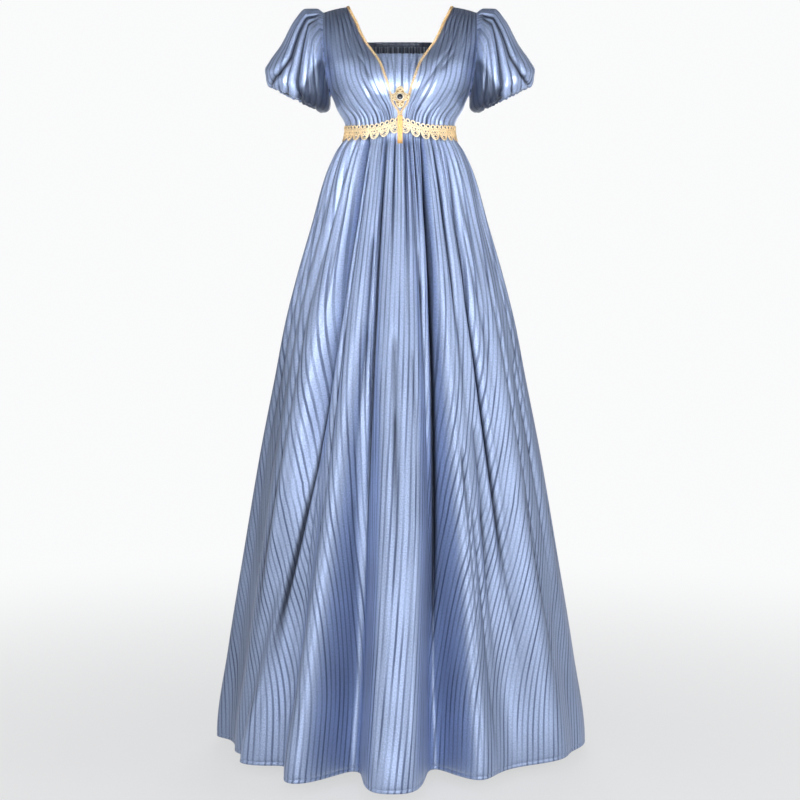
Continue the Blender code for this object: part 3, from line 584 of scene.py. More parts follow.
def bodice_back():
    """Straps and body in one sheet: the columns between the straps start at the casing."""
    neck = float(down_at(0.0, BACK_NECK_Z - CASING_HEIGHT, front=False))
    columns = BACK_COLUMNS
    down = np.concatenate([np.linspace(0, neck, BACK_STRAP_ROWS + 1)[:-1],
                           np.linspace(neck, 1, BACK_ROWS - BACK_STRAP_ROWS)])[:, None]
    edge = outer_edge(down, False)[0]
    strap = STRAP_X / edge
    middle = int(columns * BACK_MIDDLE_SHARE)
    side = (columns - middle) // 2
    share = np.concatenate([np.linspace(-1, 0, side + 1)[:-1], np.zeros(middle),
                            np.linspace(0, 1, side + 1)[1:]])[None, :]
    flat = np.concatenate([-np.ones(side), np.linspace(-1, 1, middle), np.ones(side)])[None, :]
    across = flat * strap + share * (1 - strap)
    points = bodice(across, down, front=False)
    depth = back_depth(down, points[..., 0])
    points = raised(points, -depth)
    # painted shade in the gathers and under the lace belt
    made = cloth("bodice_back", points, points[..., 0] * 1.15, -along_columns(points), SATIN,
                 wrong_side=WRONG_SIDE,
                 fold_and_painted_shade=np.maximum(closed_in(depth, 4, 1.8 * MM),
                                 BELT_SHADE * under_belt(points, False)))
    # the square neck: what lies above the casing between the straps is cut away
    mesh = made.data
    cut = []
    for face in mesh.polygons:
        r = min(face.vertices) // columns
        c = min(v % columns for v in face.vertices)
        if r < BACK_STRAP_ROWS and side <= c < side + middle - 1:
            cut.append(face.index)
    drop_faces(mesh, cut)
    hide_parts("bodice_back")


def drop_faces(mesh, faces):
    """Cuts faces, and the points only they used, out of a mesh."""
    work = bmesh.new()
    work.from_mesh(mesh)
    work.faces.ensure_lookup_table()
    bmesh.ops.delete(work, geom=[work.faces[i] for i in faces], context="FACES")
    work.to_mesh(mesh)
    work.free()


bodice_back()

# ---- Back neck casing ----------------------------------------------------------------
# The neck edge between the straps is turned over a narrow elastic; its top stays flat and
# the cloth below it puckers.

CASING_PUCKERS = 46


def back_neck_band():
    rows, columns = 16, 220
    z = blend(BACK_NECK_Z, BACK_NECK_Z - CASING_HEIGHT - 0.4 * MM,
              np.linspace(0, 1, rows))[:, None]
    down = down_at(np.zeros_like(z), z, front=False)
    half = STRAP_X / outer_edge(down, False)[0]
    points = bodice(half * np.linspace(1, -1, columns)[None, :], down, front=False)
    depth = np.zeros((rows, columns))
    for n in range(CASING_PUCKERS):
        at = (-98 + 196 * (n + 0.5) / CASING_PUCKERS + 1.4 * math.sin(5.3 * n)) * MM
        depth += (0.5 + 0.3 * math.sin(2.9 * n)) * MM * valley(points[..., 0], at, 1.2 * MM)
    depth = depth * smooth(BACK_NECK_Z - 1 * MM, BACK_NECK_Z - 8 * MM, z)
    points = raised(points, 0.5 * MM - depth)
    made = cloth("back_neck_band", points, points[..., 0], -along_columns(points), SATIN,
                 wall=2.0 * MM, wrong_side=WRONG_SIDE)
    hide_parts("back_neck_band")


back_neck_band()

# ---- Sleeves -------------------------------------------------------------------------
# Short puff sleeves of the same satin, gathered into the armhole round the head and drawn
# in again at the lower edge by a fine elastic, below which a narrow ruffle turns under.

SLEEVE = Table("step out_x out_z in_x in_z front back", [
    (0, 154, -11.5, 139.5, -176, 48, 50),
    (1, 168, -3, 140.5, -187, 62, 61),
    (2, 190, -3.5, 140.5, -196, 75, 71),
    (3, 213, -27, 141.5, -203, 83, 78),
    (4, 240, -76, 144, -207, 86, 82),
    (5, 263, -108, 148, -210, 85, 82),
    (6, 273, -127, 152.5, -211.5, 81, 79),
    (7, 269, -143, 158, -210, 74, 73),
    (8, 261, -158, 163, -204, 64, 63),
    (9, 250, -162, 167, -196, 53, 52),
])
SLEEVE_ROWS = 120
SLEEVE_COLUMNS = 190
HEAD_SHARE = 0.55               # share of the width that is gathered into the head
HEAD_REACH = 42.0               # degrees of the armhole either side of the top that take it
# Folds that fan from the head: their place among the threads at four steps, in degrees (0
# the outer side, 90 the front), where they start and end, half width and depth.
SLEEVE_FOLDS = [
    dict(at=(72, 70, 44, 16), start=0.2, end=9.0, width=6, depth=8.0),
    dict(at=(76, 78, 80, 80), start=0.3, end=8.6, width=4, depth=5.0),
    dict(at=(84, 96, 106, 108), start=0.2, end=9.0, width=6, depth=9.0),
    dict(at=(58, 50, 34, 30), start=0.2, end=4.5, width=5, depth=3.0),
    dict(at=(66, 64, 60, 56), start=4.5, end=8.8, width=4, depth=3.0),
    dict(at=(96, 118, 128, 128), start=1.0, end=8.6, width=4, depth=4.0),
    dict(at=(104, 134, 146, 146), start=1.5, end=8.6, width=4, depth=4.0),
    dict(at=(-20, -20, -20, -20), start=0.4, end=6.0, width=7, depth=4.0),
    dict(at=(-62, -56, -44, -36), start=0.4, end=8.5, width=7, depth=7.0),
    dict(at=(-70, -68, -66, -66), start=0.3, end=5.0, width=6, depth=3.2),
    dict(at=(-80, -88, -92, -92), start=0.5, end=8.0, width=6, depth=6.0),
    dict(at=(-92, -110, -120, -120), start=0.3, end=6.5, width=6, depth=3.6),
    dict(at=(-100, -130, -142, -142), start=0.4, end=8.4, width=7, depth=5.0),
]
FOLD_STEPS = (0, 4, 7, 8.5)
HEAD_GATHERS = 30
EDGE_GATHERS = 46
ELASTIC_STEP = 8.3
INNER_SHADE = 0.92              # painted shade on the side that lies against the bodice
# painted shade on the drawn-in lower edge
EDGE_SHADE = 0.65
SLEEVE_FLAT = 0.46              # metres round the cut


def sleeve(name, side):
    step = (9 * np.linspace(0, 1, SLEEVE_ROWS) ** 1.05)[:, None]
    turn = np.radians(np.linspace(-180, 180, SLEEVE_COLUMNS))[None, :]
    outer = np.stack([SLEEVE.at("out_x", step), 0 * step, SLEEVE.at("out_z", step)], -1)
    inner = np.stack([SLEEVE.at("in_x", step), 0 * step, SLEEVE.at("in_z", step)], -1)
    centre = (outer + inner) / 2
    reach = (outer - inner) / 2
    deep = np.where(np.sin(turn) > 0, SLEEVE.at("front", step), SLEEVE.at("back", step))
    points = centre + reach * np.cos(turn)[..., None]
    points[..., 1] -= np.sin(turn) * deep
    points[..., 0] += ARMHOLE_BOW * np.sin(turn) ** 2 * (1 - smooth(0, 1.2, step))
    depth = np.zeros(points.shape[:2])
    degrees = np.degrees(turn)
    # threads drawn together in the head spread out towards the cuff
    head = HEAD_SHARE * (1 - smooth(0.0, 7.0, step)) ** 1.2
    thread = (1 - head) * degrees + head * 180 * np.tanh(degrees / HEAD_REACH)
    for n, fold_and_painted_shade in enumerate(SLEEVE_FOLDS):
        at = np.interp(step, FOLD_STEPS, fold_and_painted_shade["at"]) + 1.2 * np.sin(0.9 * step + n + 2 * side)
        fade = smooth(fold_and_painted_shade["start"] - 0.3, fold_and_painted_shade["start"] + 1.3, step) * (
            1 - 0.8 * smooth(fold_and_painted_shade["end"] - 1.8, fold_and_painted_shade["end"] + 0.4, step))
        depth += fold_and_painted_shade["depth"] * MM * fade * valley(thread, at, fold_and_painted_shade["width"], 1.5)
    draw = np.random.default_rng(21 if side > 0 else 22)
    for n in range(HEAD_GATHERS):
        at = -174 + 348 * (n + 0.6 * draw.random()) / (HEAD_GATHERS - 1)
        fade = smooth(0, 0.3, step) * (1 - smooth(0.5, 1.3 + 2.2 * draw.random(), step))
        depth += (1.4 + 1.6 * draw.random()) * MM * fade * valley(thread, at, 3.6)
    for n in range(EDGE_GATHERS):
        at = -176 + 352 * (n + 0.7 * draw.random()) / (EDGE_GATHERS - 1)
        fade = smooth(6.4 + 1.2 * draw.random(), ELASTIC_STEP, step)
        knot = 1 + 0.9 * math.exp(-((at - 14) / 26) ** 2)
        depth += (2.2 + 2.8 * draw.random()) * knot * MM * fade * valley(degrees, at, 2.6)
    # the elastic, and the edge that flares again below it
    depth += 3.2 * MM * valley(step, ELASTIC_STEP, 0.25, 2.0)
    depth -= 5 * MM * smooth(6.2, 8.0, step)
    points = raised_from(points, centre, -depth)
    points[..., 0] *= side
    across = thread / 360 * SLEEVE_FLAT
    # painted shade in the closed folds
    fold_and_painted_shade = closed_in(depth, 9, 4.0 * MM, closed=True)
    # painted shade: the side against the bodice and the drawn-in edge get little light, so their
    # colour is darkened
    inner_side = smooth(92, 103, np.abs(degrees)) * smooth(0.2, 1.2, step)
    fold_and_painted_shade = np.maximum(fold_and_painted_shade, INNER_SHADE * inner_side)
    fold_and_painted_shade = np.maximum(fold_and_painted_shade, EDGE_SHADE * valley(step, 8.5, 0.45, 2.0))
    made = cloth(name, points, across, -along_columns(points), SATIN, wrong_side=WRONG_SIDE,
                 fold_and_painted_shade=fold_and_painted_shade)
    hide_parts(name)


def raised_from(points, centre, height):
    """A tube's grid moved along its normals, out from its centre line."""
    normal = np.cross(np.gradient(points, axis=1), np.gradient(points, axis=0))
    normal /= np.maximum(np.linalg.norm(normal, axis=-1, keepdims=True), 1e-12)
    if (normal * (points - centre)).sum() < 0:
        normal = -normal
    return points + normal * np.asarray(height)[..., None]


sleeve("sleeve_left", 1)
sleeve("sleeve_right", -1)

# ---- Skirt ---------------------------------------------------------------------------
# A front and a back of satin, flared and gathered on to the empire seam. Short gathers die
# out below the belt, soft pleats run on to the hip, and a few deep folds reach the hem.

SKIRT = Table("z width front back square", [
    (-250, 111, 90, 80, 2.3),
    (-266, 114, 92, 82, 2.3),
    (-287, 128, 100, 92, 2.2),
    (-337, 151, 114, 110, 2.1),
    (-438, 180, 142, 141, 2.0),
    (-540, 210, 170, 171, 2.0),
    (-642, 236, 197, 198, 2.0),
    (-745, 256, 225, 223, 2.0),
    (-900, 287, 264, 256, 2.0),
    (-1107, 323, 318, 300, 2.0),
    (-1316, 358, 377, 345, 2.0),
    (-1500, 383, 432, 380, 2.0),
])
HEM_Z = -1500 * MM
SEAM_FLAT = 6.0
SKIRT_ROWS = 112
SKIRT_COLUMNS = 420
FOLD_HEIGHTS = (-268, -500, -950, -1500)
# The deep folds: angle from the centre at the belt and at the hem, how late the drift
# comes, half width in degrees, steepness of the walls, depth at hip, knee and hem in
# millimetres.
FRONT_TROUGHS = [
    dict(belt=-72, hem=-76, late=0.5, width=13, steep=2.0, depth=(6, 20, 36)),
    dict(belt=-43, hem=-62, late=1.5, width=4.5, steep=2.0, depth=(14, 30, 26)),
    dict(belt=-31, hem=-44, late=0.5, width=8, steep=2.6, depth=(5, 38, 80)),
    dict(belt=-19, hem=-17.5, late=0.5, width=7.5, steep=2.5, depth=(6, 54, 142)),
    dict(belt=25, hem=14.5, late=0.5, width=7.5, steep=2.5, depth=(12, 60, 150)),
    dict(belt=52, hem=40, late=0.5, width=20, steep=2.0, depth=(8, 40, 78)),
    dict(belt=73, hem=71, late=0.5, width=7, steep=2.0, depth=(6, 12, 14)),
]
BACK_TROUGHS = [
    dict(belt=-70, hem=-72, late=0.5, width=6, steep=2.0, depth=(7, 20, 34)),
    dict(belt=-44, hem=-47, late=0.5, width=6.5, steep=2.4, depth=(9, 38, 74)),
    dict(belt=-17, hem=-21, late=0.5, width=6, steep=3.0, depth=(7, 56, 118)),
    dict(belt=9, hem=8, late=0.5, width=5.5, steep=3.0, depth=(10, 60, 124)),
    dict(belt=35, hem=34, late=0.5, width=6, steep=2.6, depth=(7, 42, 88)),
    dict(belt=61, hem=60, late=0.5, width=6.5, steep=2.0, depth=(8, 26, 46)),
]
SIDE_SWING = 34 * MM            # the wearer's right side swings back towards the hem
SWING_FROM = 0.65
SWING_TOP_Z = -268 * MM
PLEAT_HEIGHTS = (-262 * MM, -600 * MM, -1400 * MM)      # where a pleat's three angles hold
ROUND_PLEATS = 20
SHORT_GATHERS = 44
LOW_PLEATS = 22
SLOT_CLEARANCE = 4.4            # degrees kept free beside each named slot
RIGHT_SIDE_SHADE = 0.30         # painted shade: the wearer's right side turns away from the light
LOW_SIDE_SHADE = 0.13           # and painted shade on both sides near the hem, a little
# Slots where two pleats close on each other: angle at three heights, the heights between
# which the slot runs, how far the pleats round off beside it in degrees, its depth, and the
# share of its length over which it holds that depth.
FRONT_SLOTS = [
    dict(angles=(-43, -42, -54), top=-255, foot=-1450, half=8, depth=34, hold=0.5),
    dict(angles=(-56, -63, -61), top=-255, foot=-1400, half=6, depth=22, hold=0.4),
    dict(angles=(-70, -74, -76), top=-255, foot=-1150, half=5, depth=18, hold=0.3),
    dict(angles=(-80, -82, -83), top=-255, foot=-1000, half=4, depth=15, hold=0.3),
    dict(angles=(-33, -34, -35), top=-300, foot=-1450, half=3.5, depth=11, hold=0.6),
    dict(angles=(-17, -15.5, -17), top=-255, foot=-1300, half=3.4, depth=12, hold=0.5),
    dict(angles=(27.5, 22, 16), top=-255, foot=-1400, half=4.5, depth=24, hold=0.6),
    dict(angles=(17, 16, 14), top=-255, foot=-620, half=3.2, depth=11, hold=0.2),
    dict(angles=(6, 5, 5), top=-255, foot=-700, half=3.2, depth=10, hold=0.2),
    dict(angles=(-6, -6.5, -7), top=-255, foot=-600, half=3.2, depth=10, hold=0.2),
    dict(angles=(53, 46, 51), top=-255, foot=-1400, half=4, depth=14, hold=0.5),
    dict(angles=(39, 36, 35), top=-255, foot=-900, half=4, depth=14, hold=0.2),
    dict(angles=(66, 66, 68), top=-255, foot=-1300, half=4, depth=12, hold=0.4),
    dict(angles=(78, 79, 80), top=-255, foot=-1000, half=4, depth=12, hold=0.3),
]
BACK_SLOTS = [
    dict(angles=(-66, -68, -70), top=-255, foot=-1200, half=4, depth=13, hold=0.3),
    dict(angles=(-40, -42, -44), top=-255, foot=-1400, half=4.5, depth=20, hold=0.5),
    dict(angles=(-27, -29, -30), top=-255, foot=-900, half=4, depth=14, hold=0.2),
    dict(angles=(-13, -15, -17), top=-255, foot=-1450, half=4, depth=18, hold=0.5),
    dict(angles=(2, 1, 1), top=-255, foot=-800, half=4, depth=13, hold=0.2),
    dict(angles=(12, 12, 12), top=-255, foot=-1450, half=4, depth=20, hold=0.5),
    dict(angles=(25, 24, 24), top=-255, foot=-860, half=4, depth=14, hold=0.2),
    dict(angles=(38, 38, 38), top=-255, foot=-1400, half=4, depth=17, hold=0.4),
    dict(angles=(64, 64, 63), top=-255, foot=-1200, half=4, depth=13, hold=0.3),
]


def skirt_radius(angle, z, front):
    """Plain outline of the skirt, before any folds."""
    half = SKIRT.at("width", z / MM)
    deep = SKIRT.at("front" if front else "back", z / MM)
    power = SKIRT.at("square", z / MM, unit=1.0)
    turn = np.radians(angle)
    return ((np.abs(np.sin(turn)) / half) ** power
            + (np.abs(np.cos(turn)) / deep) ** power) ** (-1 / power)


def empire_z(x, front):
    return row_height(np.clip(x / EMPIRE_HALF, -1, 1), 1.0, front)


def skirt_depth(angle, z, troughs, pleats):
    """How far the cloth stands in from the plain outline, and the part of it in pleats."""
    way = np.clip((z / MM - FOLD_HEIGHTS[0]) / (FOLD_HEIGHTS[-1] - FOLD_HEIGHTS[0]), 0, 1)
    shape = np.broadcast(angle, z).shape
    depth = np.zeros(shape)
    for n, fold_and_painted_shade in enumerate(troughs):
        rows = list(zip(FOLD_HEIGHTS, (0, *fold_and_painted_shade["depth"])))
        deep = Table("z depth", rows).at("depth", z / MM)
        at = blend(fold_and_painted_shade["belt"], fold_and_painted_shade["hem"], way ** fold_and_painted_shade["late"])
        at = at + 0.6 * np.sin(8 * z + n) * way
        depth += deep * valley(angle, at, fold_and_painted_shade["width"], fold_and_painted_shade["steep"])
    small = np.zeros(shape)
    for pleat in pleats:
        at = np.interp(-z, [-height for height in PLEAT_HEIGHTS], pleat["angles"])
        at = at + pleat.get("wave", 0.0) * np.sin(11 * z + 7 * pleat["angles"][0])
        fade = smooth(-pleat["top"] * MM - 0.012, -pleat["top"] * MM + 0.03, -z)
        length = (pleat["top"] - pleat["foot"]) * MM
        run = np.clip((pleat["top"] * MM - z) / length, 0, 1)
        fade = fade * (1 - smooth(pleat.get("hold", 0.15), 1.0, run)) * (1 - 0.35 * run)
        small += pleat["depth"] * MM * fade * rounded_pleat(angle, at, pleat["half"])
    seam = 1 - np.exp(-((90 - np.abs(angle)) / SEAM_FLAT) ** 4)
    return (depth + small) * seam, small * seam


def skirt_pleats(seed, slots):
    """Rounded pleats from the belt, each about two stripes wide, meeting in the named slots
    and in others of uneven place, depth and length; short gathers just under the seam."""
    draw = np.random.default_rng(seed)
    pleats = list(slots)
    for n in range(ROUND_PLEATS):
        at = -88 + 176 * (n + 0.5 + 0.4 * (draw.random() - 0.5)) / ROUND_PLEATS
        if min(abs(at - slot["angles"][0]) for slot in slots) < SLOT_CLEARANCE:
            continue
        drift = 3.0 * (draw.random() - 0.5)
        pleats.append(dict(angles=(at, at + 0.4 * drift, at + drift), top=-252,
                           foot=-640 - 620 * draw.random(), half=4.4 + 1.2 * draw.random(),
                           depth=10 + 5 * draw.random(), wave=0.3))
    for n in range(SHORT_GATHERS):
        at = -88 + 176 * draw.random()
        pleats.append(dict(angles=(at, at, at), top=-250, foot=-330 - 160 * draw.random(),
                           half=1.6 + 0.9 * draw.random(), depth=2.0 + 2.5 * draw.random()))
    for n in range(LOW_PLEATS):
        at = -84 + 168 * draw.random()
        top = -430 - 560 * draw.random()
        pleats.append(dict(angles=(at, at, at + 2 * (draw.random() - 0.5)), top=top,
                           foot=top - 350 - 350 * draw.random(), wave=0.5,
                           half=3 + 2.5 * draw.random(), depth=4 + 4 * draw.random()))
    return pleats


# Flat width of half a panel by height; the stripes run with the centre of the panel.
PANEL_WIDTH = Table("z width", [
    (-250, 390),
    (-560, 420),
    (-1000, 620),
    (-1500, 880),
])
PANEL_LEAN = -8.0               # degrees that the middle of the cut has swung at the hem
LEAN_TOP_Z = -400 * MM          # where that swing starts
CUT_FROM = (500 * MM, 1150 * MM)        # drops between which the stripes go over to the cut
HEM_STITCH = 7 * MM
HEM_ROWS = (14, 11, 9, 7.5, 6, 4.5, 2.5, 0)     # millimetres above the hem


def skirt_panel(name, troughs, slots, front, seed):
    pleats = skirt_pleats(seed, slots)
    side = -1 if front else 1
    # close rows at the hem for its stitched turning
    hem_rows = 1 - np.array(HEM_ROWS) * MM / (EMPIRE_SIDE_Z - HEM_Z)
    plain_rows = SKIRT_ROWS - len(HEM_ROWS) + 1
    step = np.concatenate([hem_rows[0] * np.linspace(0, 1, plain_rows) ** 1.25, hem_rows[1:]])
    level = blend(EMPIRE_SIDE_Z, HEM_Z, step)[:, None]
    fine = np.linspace(-90, 90, 1801)[None, :]
    radius = skirt_radius(fine, level, front) - skirt_depth(fine, level, troughs, pleats)[0]
    curve = np.stack([np.sin(np.radians(fine)) * radius, np.cos(np.radians(fine)) * radius], -1)
    length = along_rows(curve)
    # columns halfway between even angles and even lengths of cloth
    mix = 0.45 * length / length[:, -1:] + 0.55 * (fine + 90) / 180
    want = np.linspace(0, 1, SKIRT_COLUMNS)
    angle = np.stack([np.interp(want, row, fine[0]) for row in mix])
    top_x = np.sin(np.radians(angle)) * skirt_radius(angle, EMPIRE_SIDE_Z, front)
    top = empire_z(top_x, front)
    z = blend(top, HEM_Z, step[:, None])
    depth, small = skirt_depth(angle, z, troughs, pleats)
    radius = skirt_radius(angle, z, front) - depth
    turn = np.radians(angle)
    points = np.stack([np.sin(turn) * radius, side * np.cos(turn) * radius, z], -1)
    aside = smooth(SWING_FROM, 1, -points[..., 0] / SKIRT.at("width", z / MM))
    low = np.clip((SWING_TOP_Z - z) / (SWING_TOP_Z - HEM_Z), 0, 1)
    points[..., 1] += SIDE_SWING * aside * low
    # the line of topstitching draws the cloth in, and the turned hem below it stands out
    above = z - HEM_Z
    points = raised(points, -0.9 * MM * valley(above, HEM_STITCH, 2.2 * MM, 2.0))
    # the stripes keep to the pleats above the hip and to the cut of the panel below it
    even = along_rows(points)
    lean = PANEL_LEAN * np.clip((LEAN_TOP_Z - z[:, 0]) / (LEAN_TOP_Z - HEM_Z), 0, 1)
    centre = np.array([np.interp(*three) for three in zip(lean, angle, even)])[:, None]
    lean = lean[:, None]
    far = np.where(even < centre, centre, even[:, -1:] - centre)
    cut = (even - centre) / far
    fan = (angle - lean) / np.where(angle < lean, 90 + lean, 90 - lean)
    across = blend(fan, cut, smooth(*CUT_FROM, -z)) * PANEL_WIDTH.at("width", z / MM)
    # painted shade: darker colour in the closed pleats, a little in the deep folds, and under the
    # lace belt
    fold_and_painted_shade = closed_in(small, 9, 5.4 * MM)
    fold_and_painted_shade = np.maximum(fold_and_painted_shade, 0.08 * closed_in(depth, 14, 34 * MM))
    fold_and_painted_shade = np.maximum(fold_and_painted_shade, BELT_SHADE * under_belt(points, front))
    # painted shade on the wearer's right side and on both sides near the hem, where they turn
    # away from the light
    right_side = smooth(50, 78, -angle) * smooth(0.45, 0.8, -z)
    fold_and_painted_shade = blend(fold_and_painted_shade, 1.0, RIGHT_SIDE_SHADE * right_side)
    low_sides = smooth(18, 34, np.abs(angle)) * smooth(0.9, 1.4, -z)
    fold_and_painted_shade = blend(fold_and_painted_shade, 1.0, LOW_SIDE_SHADE * low_sides)
    made = cloth(name, points, across, -along_columns(points), SATIN, wrong_side=WRONG_SIDE,
                 fold_and_painted_shade=fold_and_painted_shade)
    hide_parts(name)
    return points


front_grid = skirt_panel("skirt_front", FRONT_TROUGHS, FRONT_SLOTS, True, 5)
back_grid = skirt_panel("skirt_back", BACK_TROUGHS, BACK_SLOTS, False, 8)

# ---- Hem stitching -------------------------------------------------------------------
# A single row of topstitching holds the narrow turned hem, in thread a little paler than
# the satin.

STITCH = dict(length=3.0 * MM, gap=1.6 * MM, half_width=0.45 * MM, half_height=0.3 * MM)


def tube(points, normals, half_width, half_height, sides=6, closed=False):
    """A cord of flattened section along a line, lying on a surface with these normals."""
    points = np.asarray(points, float)
    if closed:
        along = np.roll(points, -1, 0) - np.roll(points, 1, 0)
    else:
        along = np.gradient(points, axis=0)
    along /= np.maximum(np.linalg.norm(along, axis=1, keepdims=True), 1e-12)
    normals = normals - along * (normals * along).sum(1, keepdims=True)
    normals /= np.maximum(np.linalg.norm(normals, axis=1, keepdims=True), 1e-12)
    aside = np.cross(along, normals)
    turn = math.tau * (np.arange(sides) + 0.5) / sides
    ring = (aside[:, None] * np.cos(turn)[None, :, None] * np.reshape(half_width, (-1, 1, 1))
            + normals[:, None] * np.sin(turn)[None, :, None]
            * np.reshape(half_height, (-1, 1, 1)))
    verts = (points[:, None] + ring).reshape(-1, 3)
    count = len(points)
    faces = []
    for i in range(count if closed else count - 1):
        j = (i + 1) % count
        for k in range(sides):
            m = (k + 1) % sides
            faces.append((i * sides + k, j * sides + k, j * sides + m, i * sides + m))
    if not closed:
        faces.append(tuple(range(sides)))
        faces.append(tuple((count - 1) * sides + k for k in reversed(range(sides))))
    return verts, faces


def joined(name, shapes, material):
    """Many small shapes as one mesh."""
    verts = []
    faces = []
    start = 0
    for points, polygons in shapes:
        verts.append(points)
        faces.extend(tuple(start + i for i in face) for face in polygons)
        start += len(points)
    mesh = bpy.data.meshes.new(name)
    mesh.from_pydata(np.concatenate(verts).tolist(), [], faces)
    mesh.shade_smooth()
    mesh.materials.append(material)
    thing = placed(name, mesh)
    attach(thing, "root")
    return thing


def finished(tree, shader, tone, texture, rough, strength, distance):
    """Links a colour, a roughness (share of the texture, then base) and the texture's
    relief to the shader."""
    share, base = rough
    uneven = node(tree, "Math", dict(operation="MULTIPLY_ADD"), i0=texture, i1=share, i2=base)
    relief = node(tree, "Bump", Height=texture, Strength=strength, Distance=distance)
    tree.links.new(tone, shader.inputs["Base Color"])
    tree.links.new(uneven.outputs[0], shader.inputs["Roughness"])
    tree.links.new(relief.outputs[0], shader.inputs["Normal"])


def thread_material(name, colour, rough):
    """Twisted thread: fine slanting strands over one colour."""
    made, tree, shader = new_material(name, {"Specular IOR Level": 0.5, "Sheen Weight": 0.2})
    place = node(tree, "TexCoord")
    twist = node(tree, "TexWave", dict(bands_direction="DIAGONAL"),
                 Vector=place.outputs["Object"], Scale=520.0, Distortion=1.5)
    dull = tuple(0.7 * c for c in colour)
    tone = mixed(tree, twist.outputs["Fac"], (*dull, 1), (*colour, 1))
    finished(tree, shader, tone, twist.outputs["Fac"], (-0.15, rough), 0.5, 0.2 * MM)
    return made


def hem_stitches():
    shapes = []
    for grid in (front_grid, back_grid):
        z = grid[:, 0, 2]
        r = int(np.searchsorted(-z, -(HEM_Z + HEM_STITCH)))
        line = np.stack([np.array([np.interp(-(HEM_Z + HEM_STITCH), -grid[r - 2:, c, 2],
                                             grid[r - 2:, c, k]) for k in range(3)])
                         for c in range(grid.shape[1])])
        length = along_rows(line[None])[0]
        normal = outward(grid)[r]
        at = STITCH["gap"]
        while at + STITCH["length"] < length[-1]:
            spots = at + STITCH["length"] * np.linspace(0, 1, 4)
            points = np.stack([np.interp(spots, length, line[:, k]) for k in range(3)], -1)
            normals = np.stack([np.interp(spots, length, normal[:, k]) for k in range(3)], -1)
            points += normals * np.array([-0.1, 0.3, 0.3, -0.1])[:, None] * MM
            shapes.append(tube(points, normals, STITCH["half_width"], STITCH["half_height"], 5))
            at += STITCH["length"] + STITCH["gap"]
    made = joined("hem_stitching", shapes, thread_material("hem_thread", (0.40, 0.50, 0.72), 0.6))


hem_stitches()

# ---- Lace belt -----------------------------------------------------------------------
# Gold guipure lace in a front and a back length: a header of interlaced cords over a row of
# scallops, each a fan of petals. It is stitched over the empire seam and peaks in front.

BELT_FOOT_Z = -270 * MM
SCALLOPS = 16
LACE_LIFT = 1.5 * MM


def belt_ring(front):
    """The line round the body that the belt follows: its angles, their lengths along from
    the centre, the whole length of this half, and how far each lies to the side."""
    angle = np.linspace(-90, 90, 721)
    radius = skirt_radius(angle, EMPIRE_SIDE_Z, front)
    x = np.sin(np.radians(angle)) * radius
    y = np.cos(np.radians(angle)) * radius
    length = along_rows(np.stack([x, y], -1)[None])[0]
    return angle, length - length[-1] / 2, length[-1], x


def belt_base(angle, z, front):
    """The face the belt lies on: the fuller of the bodice and the skirt."""
    ring = skirt_radius(angle, np.minimum(z, EMPIRE_SIDE_Z), front)
    turn = np.radians(angle)
    want = np.tan(np.minimum(np.abs(turn), math.radians(89.9)))
    guess = np.clip(np.abs(np.sin(turn) * ring) / EMPIRE_HALF, 0, 1)
    down = down_at(guess, z, front)
    low = np.zeros_like(ring)
    high = np.ones_like(ring)
    for _ in range(24):
        middle = (low + high) / 2
        found = bodice(middle, down, front)
        short = found[..., 0] < want * np.abs(found[..., 1])
        low = np.where(short, middle, low)
        high = np.where(short, high, middle)
    found = bodice(high, down, front)
    reach = np.hypot(found[..., 0], found[..., 1])
    reach = np.maximum(reach, ring)
    side = -1 if front else 1
    return np.stack([np.sin(turn) * reach, side * np.cos(turn) * reach, z], -1)


class BeltFace:
    """Places on the belt by length from its centre and drop below its top edge."""

    def __init__(self, front):
        self.front = front
        self.angle, self.length, self.whole, self.x = belt_ring(front)
        columns = np.linspace(-90, 90, 361)
        self.columns = columns
        self.drops = np.linspace(-0.004, 0.036, 21)
        top = BELT_TOP_Z + self.peak(np.interp(columns, self.angle, self.x))
        z = top[:, None] - self.drops[None, :]
        self.grid = belt_base(np.broadcast_to(columns[:, None], z.shape), z, front)
        self.normals = outward(self.grid)

    def peak(self, x):
        return BELT_PEAK * np.exp(-(x / BELT_PEAK_REACH) ** 2) if self.front else 0 * x

    def at(self, along, drop, lift):
        """Points and normals of a line given by its lengths along and drops."""
        angle = np.interp(along, self.length, self.angle)
        i = (angle + 90) / 180 * (len(self.columns) - 1)
        j = (drop - self.drops[0]) / (self.drops[-1] - self.drops[0]) * (len(self.drops) - 1)
        i0 = np.clip(i.astype(int), 0, len(self.columns) - 2)
        j0 = np.clip(j.astype(int), 0, len(self.drops) - 2)
        fi = np.clip(i - i0, 0, 1)[:, None]
        fj = np.clip(j - j0, 0, 1)[:, None]
        out = []
        for grid in (self.grid, self.normals):
            near = blend(grid[i0, j0], grid[i0 + 1, j0], fi)
            far = blend(grid[i0, j0 + 1], grid[i0 + 1, j0 + 1], fi)
            out.append(blend(near, far, fj))
        points, normals = out
        normals /= np.linalg.norm(normals, axis=1, keepdims=True)
        return points + normals * np.reshape(lift, (-1, 1)), normals


def ring_cord(middle, drop, radius, half_width, lift=0.0):
    """One worked eyelet: a closed ring of cord."""
    turn = math.tau * np.arange(14) / 14
    return (middle + radius * np.cos(turn), drop + radius * np.sin(turn), half_width,
            LACE_LIFT + lift, True)


